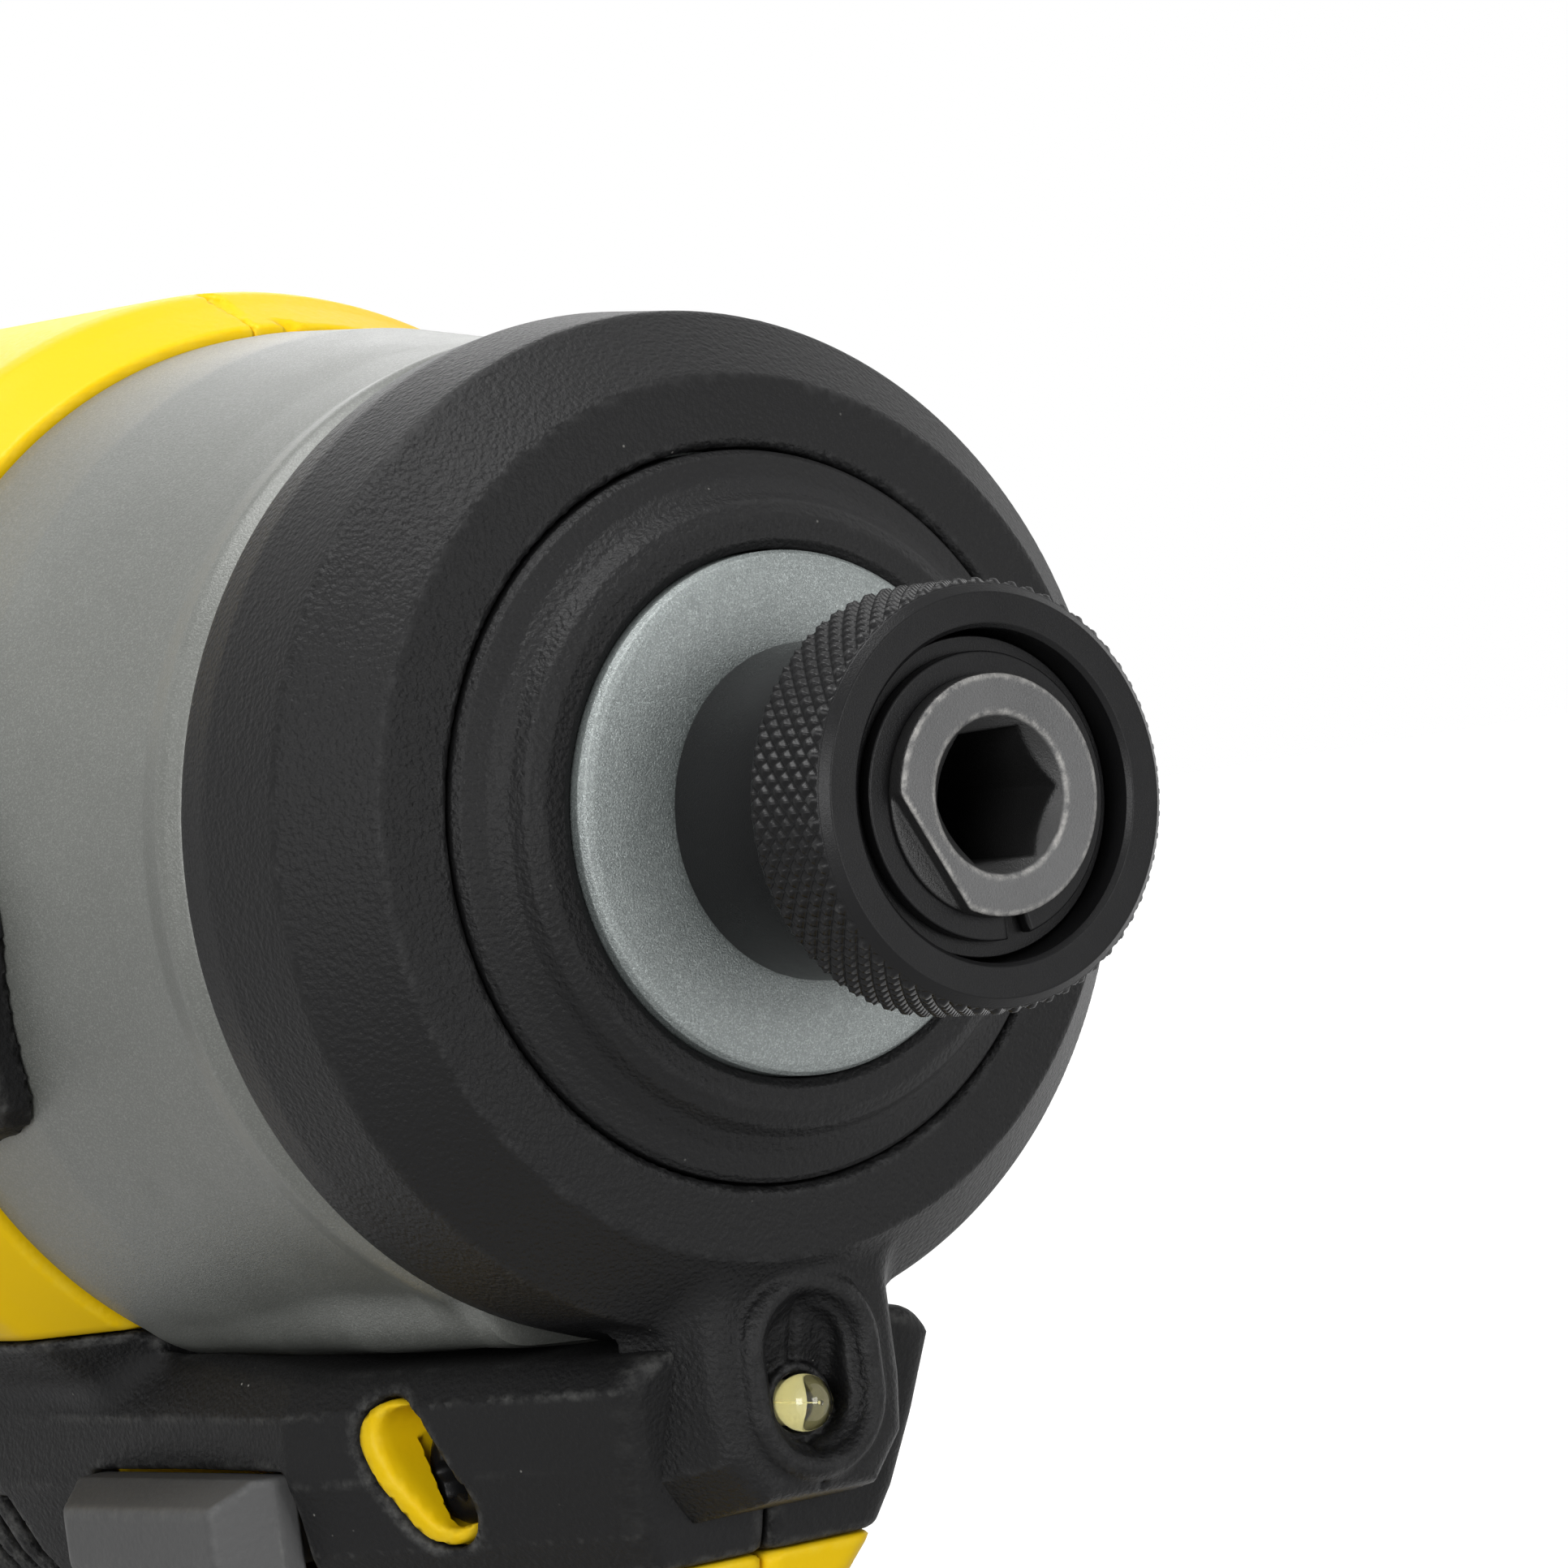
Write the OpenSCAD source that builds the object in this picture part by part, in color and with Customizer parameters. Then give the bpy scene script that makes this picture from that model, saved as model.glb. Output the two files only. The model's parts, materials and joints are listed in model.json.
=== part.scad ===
// Cordless impact driver. The spindle runs along X with the nose towards +X, +Z is up.
// The origin lies at the middle of the battery's flat base. Head pieces are drawn in the
// spindle's own frame: x is 0 at the sleeve's front face and falls towards the rear.

/* [Overall] */
// Height of the spindle line above the battery's base
axis_h = 178; // [174:1:186]
// Distance of the sleeve's front face ahead of the middle of the base
nose_x = 88; // [84:1:92]

/* [Quick-change sleeve] */
// Length of the sleeve
sleeve_len = 15.85; // [15.6:0.05:16.6]
// Radius of the sleeve's flat front face
sleeve_r = 10.06; // [9.6:0.01:10.2]
// Radius over the knurl's points
knurl_r = 10.88; // [10.6:0.01:11.4]
// Depth of the knurl's grooves
knurl_depth = 0.52; // [0.3:0.01:0.55]
// Diamonds around the sleeve
knurl_count = 60; // [40:2:70]
// Front edge of the knurled band behind the front face
knurl_from = 0.9; // [0.7:0.1:1.2]
// Rows of half diamonds along the band
knurl_rows = 9; // [7:1:10]
// Radius of the smooth neck at the rear
neck_r = 8.61; // [8.4:0.01:9]
// Radius of the opening at the sleeve's front
mouth_r = 8.29; // [7.9:0.01:8.5]
// Travel of the sleeve when it is pulled forward
sleeve_travel = 3.5; // [3.2:0.1:3.8]
// Wire radius of the sleeve's spring
sleeve_wire_r = 0.45; // [0.4:0.01:0.48]
// Turns of the sleeve's spring
sleeve_turns = 3.5; // [3:0.5:3.5]

/* [Anvil] */
// Radius of the anvil's nose
anvil_r = 6.05; // [5.8:0.01:6.3]
// Reach of the anvil's face ahead of the sleeve
anvil_reach = 0.43; // [0.2:0.01:1]
// Distance across the flats of the bit socket
hex_af = 6.45; // [6.4:0.01:6.6]
// Depth of the bit socket
hex_depth = 25; // [20:1:28]
// Radius of the socket's bevelled mouth
hex_mouth_r = 4.05; // [3.9:0.01:4.3]
// Radius of the anvil in its bushing
journal_r = 6.95; // [6.8:0.01:7.2]
// Radius over the anvil's two lugs
lug_r = 16.5; // [15:0.1:18]
// Width of a lug
lug_w = 9; // [7:0.5:10]
// Length of a lug along the spindle
lug_len = 6; // [5:0.1:6.5]
// Radius of a detent ball
ball_r = 1.75; // [1.6:0.01:1.8]
// Thickness of the retaining ring and of the washer behind it
ring_t = 0.8; // [0.6:0.05:1]

/* [Hammer case] */
// Radius of the bright nose disc
disc_r = 13.41; // [13:0.01:13.8]
// Radius of the case just behind the boot
case_front_r = 25.6; // [25.2:0.1:26]
// Radius of the case where it enters the housing
case_rear_r = 28.6; // [28.4:0.1:28.9]
// Inner radius of the case
case_bore_r = 22.5; // [22.3:0.1:22.8]
// Distance of the case's front shoulder behind the sleeve's front face
case_shoulder = 24; // [23.6:0.1:24.4]
// Distance of the boot's rear edge behind the sleeve's front face
boot_rear = 34.4; // [33.8:0.1:35]
// Distance of the housing's front edge behind the sleeve's front face
housing_front = 61.6; // [61:0.1:62.4]

/* [Nose boot] */
// Outer radius of the inner nose ring
ring_outer_r = 18.8; // [18.2:0.1:19.2]
// Radius of the boot's flat front face
boot_face_r = 22.74; // [22:0.1:23.4]
// Largest radius of the boot
boot_r = 26.9; // [26.6:0.1:27.4]
// Wall of the boot's skirt
boot_wall = 1.7; // [1.5:0.1:1.9]
// Distance of the lamp boss's front face behind the sleeve's front face
lamp_boss_front = 22; // [21.6:0.1:22.4]
// Radius of the lamp
lamp_r = 1.5; // [1.3:0.1:1.8]
// Distance of the lamp below the spindle line
lamp_drop = 30.4; // [30:0.1:31]

/* [Impact mechanism] */
// Outer radius of the hammer
hammer_r = 21.8; // [21:0.1:22]
// Length of the hammer's ring
hammer_len = 15; // [14:0.5:16]
// Retreat of the hammer along the cam shaft
hammer_travel = 7; // [6.6:0.1:7.4]
// Radius of the cam shaft
cam_r = 7.5; // [7:0.1:8]
// Radius of a cam ball
cam_ball_r = 2.5; // [2.2:0.1:2.7]
// Wire radius of the hammer's spring
hammer_wire_r = 1.3; // [1:0.05:1.4]

/* [Gearbox] */
// Gear module
gear_m = 0.7; // [0.68:0.01:0.72]
// Teeth of the pinion
sun_teeth = 10; // [10:10:10]
// Teeth of a planet gear
planet_teeth = 20; // [20:20:20]
// Width of the gears
gear_w = 8; // [7:0.5:9]
// Tooth play at the pitch circle
backlash = 0.12; // [0.08:0.01:0.2]

/* [Motor] */
// Outer radius of the stator
stator_r = 25.5; // [24:0.1:26]
// Length of the stator's stack
stator_len = 18; // [16:1:20]
// Radius of the rotor
rotor_r = 12; // [11:0.1:13]
// Radius of the motor shaft
shaft_r = 2.5; // [2.3:0.1:2.7]
// Radius of the fan
fan_r = 25; // [23:0.5:26]

/* [Housing] */
// Wall of the barrel round the hammer case
barrel_wall = 2.9; // [2.7:0.1:3.4]
// Room between the hammer case and the barrel's bore
barrel_room = 0.1; // [0.1:0.05:0.3]
// Length of the barrel behind the motor's shaft
barrel_end = 7.2; // [6.2:0.5:10.2]
// Wall of the handle
handle_wall = 2.6; // [2.2:0.1:3]
// Thickness of the soft overmould
grip_t = 1.5; // [1.2:0.1:1.8]
// Half width of the handle at its waist
handle_half_w = 15.6; // [15:0.1:17]
// Half width of the foot
foot_half_w = 34; // [33:0.5:36]
// Height of the foot
foot_h = 17; // [16:0.5:18]

/* [Controls] */
// Travel of the trigger
trigger_travel = 7; // [5:0.5:7.5]
// Half width of the trigger
trigger_half_w = 8.5; // [7.5:0.1:9]
// Travel of the direction button to each side
button_travel = 2.5; // [1.5:0.1:3]

/* [Battery] */
// Room between the end cells and the battery's ends
cell_room = 4; // [3:0.5:6]
// Half width of the battery
pack_half_w = 38; // [37.8:0.1:38.6]
// Height of the battery below the foot
pack_h = 31.7; // [31:0.1:34]
// Radius of the battery's upright corners
pack_corner_r = 7; // [5:0.5:9]
// Radius of one cell
cell_r = 9.15; // [9:0.05:9.3]
// Length of one cell
cell_len = 65; // [64.5:0.1:65.5]
// Half width of the rail's neck
rail_neck = 22; // [21:0.1:23]
// Half width of the rail's lips
rail_lip = 26; // [25.5:0.1:27]

/* [Clearances] */
// Radial clearance of running fits
fit = 0.05; // [0.03:0.01:0.08]
// Gap between seated pieces with curved faces
seat = 0.1; // [0.05:0.01:0.15]
// Gap between pieces that slide past each other
play = 0.3; // [0.25:0.01:0.35]

/* [Hidden] */

// Colours
yellow = [0.96, 0.80, 0.06];
soft_black = [0.13, 0.13, 0.135];
hard_black = [0.17, 0.17, 0.175];
case_grey = [0.48, 0.50, 0.475];
steel = [0.55, 0.55, 0.56];
dark_steel = [0.24, 0.24, 0.25];
button_grey = [0.42, 0.42, 0.42];
copper = [0.72, 0.42, 0.24];
brass = [0.78, 0.62, 0.30];
board_green = [0.10, 0.32, 0.18];
cell_blue = [0.28, 0.42, 0.60];
lamp_clear = [0.93, 0.92, 0.70];

// Places along the spindle, from the nose to the rear
knurl_pitch = 0.57;
knurl_to = knurl_from + knurl_rows * knurl_pitch;
case_front = -sleeve_len - play + 0.02;
ring_groove_x = -0.75;
washer_x = ring_groove_x - ring_t - seat / 2;
spring_front = washer_x - ring_t - seat / 2;
spring_room = 2 * sleeve_turns * sleeve_wire_r + sleeve_travel + 0.9 - spring_front;
detent_x = -spring_room - 2.3;
cone_from = -spring_room - 1.2;
cone_slope = 0.278;
detent_drop = ball_r + 0.03;
detent_place = anvil_r + fit + cone_slope * (cone_from - detent_x)
    - detent_drop * sqrt(1 + cone_slope * cone_slope);
bushing_front = case_front - 0.8;
bushing_r = 9;
bushing_rear = -33.6;
thrust_t = 1;
thrust_r = 13;
flange_x = bushing_rear - thrust_t - seat;
flange_t = 1.4;
lug_front = flange_x - flange_t;
lug_back = lug_front - lug_len;
anvil_core_r = 10;
pilot_r = 3.4;
pilot_len = 5;
hammer_front = lug_back - 0.7;
hammer_back = hammer_front - hammer_len;
recess_floor = hammer_front - 4;
cam_ball_x = hammer_front - cam_ball_r - 6.4;
spring_seat_x = hammer_back - hammer_travel - 1;
carrier_front_t = 2.4;
gear_front = spring_seat_x - carrier_front_t - play;
gear_back = gear_front - gear_w;
carrier_rear_t = 2;
carrier_back = gear_back - play - carrier_rear_t;
hub_len = 4.6;
hub_r = 8;
bearing_r = 12;
plate_front = gear_back - play - 0.4;
plate_back = carrier_back - hub_len - 5.4;
motor_bearing_r = 6.5;
motor_bearing_w = 4;
stator_front = plate_back - 6;
stator_back = stator_front - stator_len;
fan_front = stator_back - 4.5;
fan_w = 6;
rear_bearing_x = fan_front - fan_w - 3.5;
shaft_rear = rear_bearing_x - motor_bearing_w;
flange_front = -housing_front - 4;
flange_len = 2;
flange_r = case_rear_r + 1.3;
barrel_r = case_rear_r + barrel_wall;
barrel_bore_r = case_rear_r + barrel_room;
barrel_rear = barrel_end - shaft_rear;
case_back = plate_back;

// Gears
pressure = 25;
addendum = 0.8;
dedendum = 1.1;
ring_teeth = sun_teeth + 2 * planet_teeth;
planet_distance = gear_m * (sun_teeth + planet_teeth) / 2;
pin_r = 2;
post_r = 3;
post_place = planet_distance + 2.4;
planet_places = [0, 120, 240];

// Handle and foot, in the spindle's frame
cell_count = 5;
cell_pitch = 2 * cell_r + 0.5;
pack_len = cell_count * cell_pitch + 2 * cell_room;
foot_z = -axis_h + pack_h + play;
foot_top = foot_z + foot_h;
handle_top = -24;
handle_span = handle_top - foot_top;
handle_x = -95;
handle_lean = -5;
pack_x = -nose_x;
foot_front = pack_x + pack_len / 2 - 14;
foot_back = pack_x - pack_len / 2 + 12.5;
foot_reach = (foot_front - foot_back) / 2;
rail_depth = 8;
lip_t = 4.3;
chin_half_w = 17;
chin_bottom = -38.2;
keel_bottom = -41.4;
foot_wall = 7;
switch_top = -42;
switch_front = -86.2;
switch_len = 19;
switch_w = 15;
switch_h = 26;
board_back = -111.5;
board_len = 28;
chip_len = 5;
chip_pitch = 8;
board_z = foot_z + rail_depth + 2.4;
hook_x = -92;
hook_z = foot_z + 5.6;
nut_r = 3.4;
nut_len = 6.9;
nut_bore_r = 1.65;
trigger_top = -42.5;
trigger_h = 24;
trigger_mid = trigger_top - trigger_h / 2;
trigger_front = -61.5;
trigger_depth = 17;
lamp_back = -27.5;
lead_r = 0.4;
lead_z = 0.6 - lamp_drop;
lead_slot_w = 5;
button_mid_x = -58.5;
button_z = -34.1;
button_len = 23;
button_h = 4.6;
button_half = chin_half_w + button_travel + 0.5;

// Screws of the clamshell: [x, z, y of the head's seat] on the right side
screw_places = [
    [-37.3, -32.3, -10.2],
    [-109, -37, -11.5],
    [-88, -78, -11],
    [-106, -110, -11],
    [-72, foot_z + 12.6, -12],
    [-119, foot_z + 12.6, -12]
];
screw_head_r = 2.9;
screw_r = 1.5;
screw_len = 17;
recess_ends = [[-43.4, -29.9], [-37.6, -34.4]];
recess_r = 2.2;

// Battery, in the part's own frame with the base at z = 0 and the middle at x = 0
pack_split = 15;
pack_wall = 2.2;
cell_z = 2.2 + cell_r;
rail_front = pack_len / 2 - 24;
rail_back = -pack_len / 2 + 20;
slot_places = [-12, -4, 4, 12];
blade_t = 0.8;
slot_w = 1.8;
blade_len = 14;
boss_r = 2.1;
boss_y = cell_len / 2 + 0.45 + boss_r;
battery_screw_places = [for (x = [-28, 28]) for (side = [-1, 1]) [x, side * boss_y]];
latch_half_w = 11.7;
latch_len = 13;
latch_low = 25.4;
gauge_y = 24;
gauge_z = 20;
gauge_r = 3.5;
recess_deep = 1.3;
recess_round = 70;

// Moves head pieces from the spindle's frame into the part's frame
module at_spindle() {
    translate([nose_x, 0, axis_h]) children();
}

// Solid turned about the spindle from [radius, x] points
module turned(points, facets = 96) {
    rotate([0, 90, 0]) rotate_extrude($fn = facets) polygon(points);
}

// Round bar along the spindle
module bar(r, from, to, facets = 64) {
    translate([min(from, to), 0, 0]) rotate([0, 90, 0]) cylinder(r = r, h = abs(to - from), $fn = facets);
}

// Ring along the spindle
module tube(r_out, r_in, from, to, facets = 96) {
    difference() {
        bar(r_out, from, to, facets);
        bar(r_in, min(from, to) - 1, max(from, to) + 1, facets);
    }
}

// Plate with round ends from one point to another, drawn flat
module stadium(a, b, r) {
    span = norm(b - a);
    translate(a) circle(r = r, $fn = 48);
    translate(b) circle(r = r, $fn = 48);
    translate(a) rotate(atan2(b[1] - a[1], b[0] - a[0])) translate([0, -r]) square([span, 2 * r]);
}

// Side profile in x and z, pushed out along Y from one y to another
module across(from, to) {
    translate([0, to, 0]) rotate([90, 0, 0]) linear_extrude(height = to - from) children();
}

// Front profile in y and z, pushed out along X from one x to another
module along(from, to) {
    translate([from, 0, 0]) rotate([90, 0, 90]) linear_extrude(height = to - from) children();
}

// Closed skin over rings of points that rise along Z, all with the same count
module loft(rings) {
    n = len(rings[0]);
    m = len(rings);
    sides = [for (j = [0 : m - 2]) for (i = [0 : n - 1])
        let (a = j * n + i, b = j * n + (i + 1) % n) each [[a, a + n, b + n], [a, b + n, b]]];
    base = [[for (i = [0 : n - 1]) i]];
    lid = [[for (i = [n - 1 : -1 : 0]) (m - 1) * n + i]];
    polyhedron(points = [for (r = rings) each r], faces = concat(base, lid, sides), convexity = 6);
}

// Unbroken tube of six sides wound about X, rising from one x to a larger one, with flat ends
module coil(r, wire, from, to, turns) {
    steps = 8;
    rings = round(turns * steps);
    loft([for (i = [0 : rings]) let (a = 360 * turns * i / rings, x = from + (to - from) * i / rings)
        [for (k = [0 : 5]) let (q = r + wire * cos(60 * k))
            [x - wire * sin(60 * k), q * cos(a), q * sin(a)]]]);
}

// Involute angle of a gear with this base radius at radius r, in degrees
function involute(base_r, r) = let (t = acos(min(1, base_r / r))) tan(t) * 180 / PI - t;

// Half the angle that a lobe of an n-lobed outline takes at radius r
function lobe_half(n, r, widen) = let (p = gear_m * n / 2, b = p * cos(pressure))
    90 / n + widen / p * 45 / PI + involute(b, p) - involute(b, max(b, r));

// Outline with n involute lobes between two radii, one of them on the zero direction
function lobes(n, low, high, widen) = let (b = gear_m * n / 2 * cos(pressure), from = max(low, b), steps = 4)
    [for (i = [0 : n - 1]) for (side = [-1, 1]) for (s = [0 : steps + 1])
        let (k = side < 0 ? s : steps + 1 - s, r = k == 0 ? low : from + (high - from) * (k - 1) / steps,
            a = 360 * i / n + side * lobe_half(n, max(r, from), widen)) r * [cos(a), sin(a)]];

// Outline of an outside gear with n teeth
function gear_outline(n) = lobes(n, gear_m * (n / 2 - dedendum), gear_m * (n / 2 + addendum), -backlash);

// Superellipse ring: [z, centre x, reach forward, reach back, half width, roundness], grown outward
function handle_ring(s, grow) = [for (i = [0 : 31]) let (a = 11.25 * (i + 0.5), c = cos(a), d = sin(a),
    k = 2 / s[5])
    [s[1] + ((c > 0 ? s[2] : s[3]) + grow) * sign(c) * pow(abs(c), k),
        (s[4] + grow) * sign(d) * pow(abs(d), k), s[0]]];

// Section between two others, w being the share of the first
function mix(a, b, w) = [for (i = [0 : len(a) - 1]) w * a[i] + (1 - w) * b[i]];

// Outline of the foot and the lowest section of the grip, without their heights
function foot_section() = [(foot_front + foot_back) / 2, foot_reach, foot_reach, foot_half_w, 5];
function wrist_section() = [handle_x + handle_lean, 21.5, 22.5, handle_half_w + 1.2, 2.5];

// Section of the grip at a share of its height, from its middle line
function grip_section(share, forward, back, widen, round) = concat(foot_top + 7 + (handle_span - 7) * share,
    [handle_x + handle_lean * (1 - share), forward, back, handle_half_w + widen, round]);

// Sections of the handle and foot from the bottom up: the foot's wall, its flare and the grip
function handle_sections() = concat(
    [concat(foot_z, foot_section())],
    [for (i = [0 : 5]) let (u = i / 5) concat(foot_z + foot_wall + (foot_h + 7 - foot_wall) * u,
        mix(foot_section(), wrist_section(), pow(1 - u, 2)))],
    [grip_section(0.18, 20.2, 21.2, 0.4, 2.4), grip_section(0.36, 20.4, 20.6, 0.6, 2.35),
        grip_section(0.54, 21, 20.6, 0.8, 2.35), grip_section(0.68, 20.8, 21.6, 0.6, 2.4),
        grip_section(0.8, 21, 23.6, 0.8, 2.5), grip_section(0.9, 23, 27, 1.2, 2.6),
        grip_section(1, 27, 33, 1.6, 2.8), grip_section(1.08, 30, 36, 2, 3)]);

// The handle and foot as one smooth solid, grown outward by the given amount
module handle_solid(grow) {
    loft([for (s = handle_sections()) handle_ring(s, grow)]);
}

// Six-lobed recess of a screw head
module star_recess(r, depth) {
    cylinder(r = 0.7 * r, h = depth, $fn = 24);
    for (a = [0 : 60 : 300]) rotate(a) translate([0.72 * r, 0, 0])
        cylinder(r = 0.28 * r, h = depth, $fn = 16);
}

// Pan-head screw along Z with its seat at z = 0 and its head above
module screw(head_r, r, len, head_h = 2.2) {
    difference() {
        union() {
            cylinder(r = head_r, h = head_h, $fn = 32);
            translate([0, 0, -len]) cylinder(r = r, h = len + 0.1, $fn = 32);
        }
        translate([0, 0, head_h - 1.4]) star_recess(0.62 * head_r, 2);
    }
}

// Turns a screw drawn along Z so that its head faces the tool's right side
module from_right() {
    rotate([90, 0, 0]) children();
}

// Pyramid knurl on a round plug along Z: points on a grid, high where row and column agree
module knurl_plug() {
    around = 2 * knurl_count;
    points = [for (j = [0 : knurl_rows]) for (i = [0 : around - 1])
        let (high = j > 0 && j < knurl_rows && (i + j) % 2 == 0, r = high ? knurl_r : knurl_r - knurl_depth,
            a = 360 * i / around) [r * cos(a), r * sin(a), j * knurl_pitch]];
    sides = [for (j = [0 : knurl_rows - 1]) for (i = [0 : around - 1])
        let (a = j * around + i, b = j * around + (i + 1) % around, c = a + around, d = b + around)
            each (i + j) % 2 == 0 ? [[a, c, b], [b, c, d]] : [[a, c, d], [a, d, b]]];
    base = [[for (i = [0 : around - 1]) i]];
    lid = [[for (i = [around - 1 : -1 : 0]) knurl_rows * around + i]];
    polyhedron(points = points, faces = concat(base, lid, sides), convexity = 4);
}

module collet_sleeve() {
    core_r = knurl_r - knurl_depth - 0.06;
    color(dark_steel) at_spindle() difference() {
        union() {
            turned([[anvil_r, 0], [sleeve_r, 0], [core_r - 0.2, -knurl_from + 0.4], [core_r, -knurl_from],
                [core_r, -knurl_to - 0.1], [neck_r + 0.6, -knurl_to - 1.5], [neck_r + 0.25, -knurl_to - 2.2],
                [neck_r, -sleeve_len + 0.4], [neck_r - 0.3, -sleeve_len], [anvil_r, -sleeve_len]]);
            translate([-knurl_to, 0, 0]) rotate([0, 90, 0]) knurl_plug();
        }
        turned([[0, 1], [mouth_r + 0.25, 1], [mouth_r + 0.25, 0], [mouth_r, -0.25], [mouth_r, -spring_room],
            [anvil_r + fit, -spring_room], [anvil_r + fit, cone_from],
            [anvil_r + fit + cone_slope * (cone_from + sleeve_len + 1), -sleeve_len - 1],
                [0, -sleeve_len - 1]]);
    }
}

module sleeve_spring() {
    room = mouth_r - anvil_r;
    mid_r = anvil_r + room / 2;
    back = -spring_room + sleeve_wire_r + seat;
    front = spring_front - sleeve_wire_r - seat;
    color(steel) at_spindle() coil(mid_r, sleeve_wire_r, back, front, sleeve_turns);
    echo(sleeve_spring_gap = (front - back) / sleeve_turns - 2 * sleeve_wire_r);
}

module sleeve_washer() {
    color(dark_steel) at_spindle() tube(mouth_r - play, anvil_r + fit, washer_x - ring_t, washer_x);
}

module retaining_ring() {
    gap = 2.2;
    color(dark_steel) at_spindle() difference() {
        tube(anvil_r + 1.15, anvil_r - 0.6, ring_groove_x - ring_t, ring_groove_x);
        rotate([-52, 0, 0]) translate([ring_groove_x - ring_t - 1, 0, -gap / 2])
            cube([ring_t + 2, anvil_r + 4, gap]);
    }
}

module anvil() {
    color(steel) at_spindle() difference() {
        union() {
            turned([[0, anvil_reach], [anvil_r - 0.2, anvil_reach], [anvil_r, anvil_reach - 0.2],
                [anvil_r, ring_groove_x], [anvil_r - 0.65, ring_groove_x],
                [anvil_r - 0.65, ring_groove_x - ring_t - 0.05], [anvil_r, ring_groove_x - ring_t - 0.05],
                [anvil_r, case_front - 0.2], [journal_r, case_front - 0.9], [journal_r, flange_x],
                [thrust_r - 2, flange_x], [thrust_r - 2, lug_front], [0, lug_front]]);
            intersection() {
                bar(lug_r, lug_back, lug_front + 0.5);
                translate([lug_back, -lug_r, -lug_w / 2]) cube([lug_len + 0.5, 2 * lug_r, lug_w]);
            }
            bar(anvil_core_r, lug_back, lug_front + 0.5);
        }
        translate([anvil_reach - hex_depth, 0, 0]) rotate([0, 90, 0])
            linear_extrude(height = hex_depth + 1) rotate(90) circle(r = hex_af / 2 / cos(30), $fn = 6);
        turned([[0, anvil_reach + 0.01], [hex_mouth_r, anvil_reach + 0.01], [hex_mouth_r, anvil_reach],
            [hex_mouth_r - 1, anvil_reach - 1], [0, anvil_reach - 1]]);
        translate([detent_x, 0, 0]) cylinder(r = ball_r + fit, h = 2 * lug_r, center = true, $fn = 48);
        rotate([-35, 0, 0]) translate([anvil_reach - 0.9, -2 * anvil_r, -anvil_r - 4.4])
            cube([2, 4 * anvil_r, 5]);
        bar(pilot_r + fit, lug_back - 1, lug_back + pilot_len + 0.4);
    }
}

module detent_ball(side) {
    color(steel) at_spindle() translate([detent_x, 0, side * detent_place]) sphere(r = ball_r, $fn = 32);
}

module detent_ball_upper() {
    detent_ball(1);
}

module detent_ball_lower() {
    detent_ball(-1);
}

module anvil_bushing() {
    color(brass) at_spindle() tube(bushing_r, journal_r + fit, bushing_rear, bushing_front);
}

module thrust_washer() {
    color(steel) at_spindle() tube(thrust_r, journal_r + seat, bushing_rear - thrust_t, bushing_rear);
}

// Turned outline of the hammer case's skin, from the nose to the rear, as [radius, x]
function case_outline() = [
    [disc_r - 0.25, case_front], [disc_r, case_front - 0.25], [disc_r, -case_shoulder],
    [ring_outer_r + 0.1, -case_shoulder], [case_front_r - 0.7, -case_shoulder - 3.6],
    [case_front_r - 0.7, -boot_rear - play], [case_front_r, -boot_rear - play - 0.15],
    [case_front_r + 0.45, -boot_rear - play - 1], [case_front_r + 0.3, -boot_rear - play - 2.2],
    [case_front_r + 0.9, -boot_rear - 8], [case_rear_r - 0.5, -housing_front + 9],
        [case_rear_r, -housing_front + 2],
    [case_rear_r, flange_front], [flange_r, flange_front], [flange_r, flange_front - flange_len],
    [case_rear_r, flange_front - flange_len], [case_rear_r, flange_front - flange_len - 5],
    [case_rear_r - 2, flange_front - flange_len - 6], [case_rear_r - 2, case_back]
];

module hammer_case() {
    bore_inner = journal_r + 0.75;
    color(case_grey) at_spindle() difference() {
        union() {
            turned(concat([[bore_inner, case_front - 0.05], [neck_r + 0.35, case_front - 0.1],
                [neck_r + 1.2, case_front - 0.45], [neck_r + 2.6, case_front - 0.55],
                [disc_r - 0.9, case_front - 0.2]], case_outline(),
                [[case_bore_r, case_back], [case_bore_r, bushing_rear - thrust_t - 4],
                [thrust_r + 0.3 + 5, bushing_rear], [bushing_r, bushing_rear], [bushing_r, bushing_front],
                [bore_inner, bushing_front]]));
            difference() {
                hull() {
                    translate([-29.5, -10, -25.2]) cube([1, 20, 2.4]);
                    translate([-housing_front + play, -chin_half_w, -25.2])
                        cube([16, 2 * chin_half_w, 5]);
                }
                bar(case_front_r - 1, -200, 0);
                bar(boot_r + play, -boot_rear - play, 0);
            }
        }
        for (side = [-1, 1]) rotate([side * 55, 0, 0]) translate([-46, 0, -case_rear_r - 3.6])
            sphere(r = 5, $fn = 48);
        translate([flange_front - flange_len - 1, -lead_slot_w / 2, -flange_r - 1])
            cube([flange_len + 2, lead_slot_w, flange_r + 1 + lead_z + lead_r + play]);
    }
}

module nose_ring() {
    inner = disc_r + seat;
    color(soft_black) at_spindle() turned([[inner, -case_shoulder + 0.05], [inner, case_front - 1.4],
        [inner + 0.5, case_front - 1.15], [inner + 1.7, case_front - 1.2], [inner + 2.5, case_front - 1.7],
        [inner + 3, case_front - 2.6], [inner + 3.8, case_front - 3.3],
            [ring_outer_r - 0.3, case_front - 3.85],
        [ring_outer_r, case_front - 4.2], [ring_outer_r, -case_shoulder + 0.05]]);
}

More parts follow.
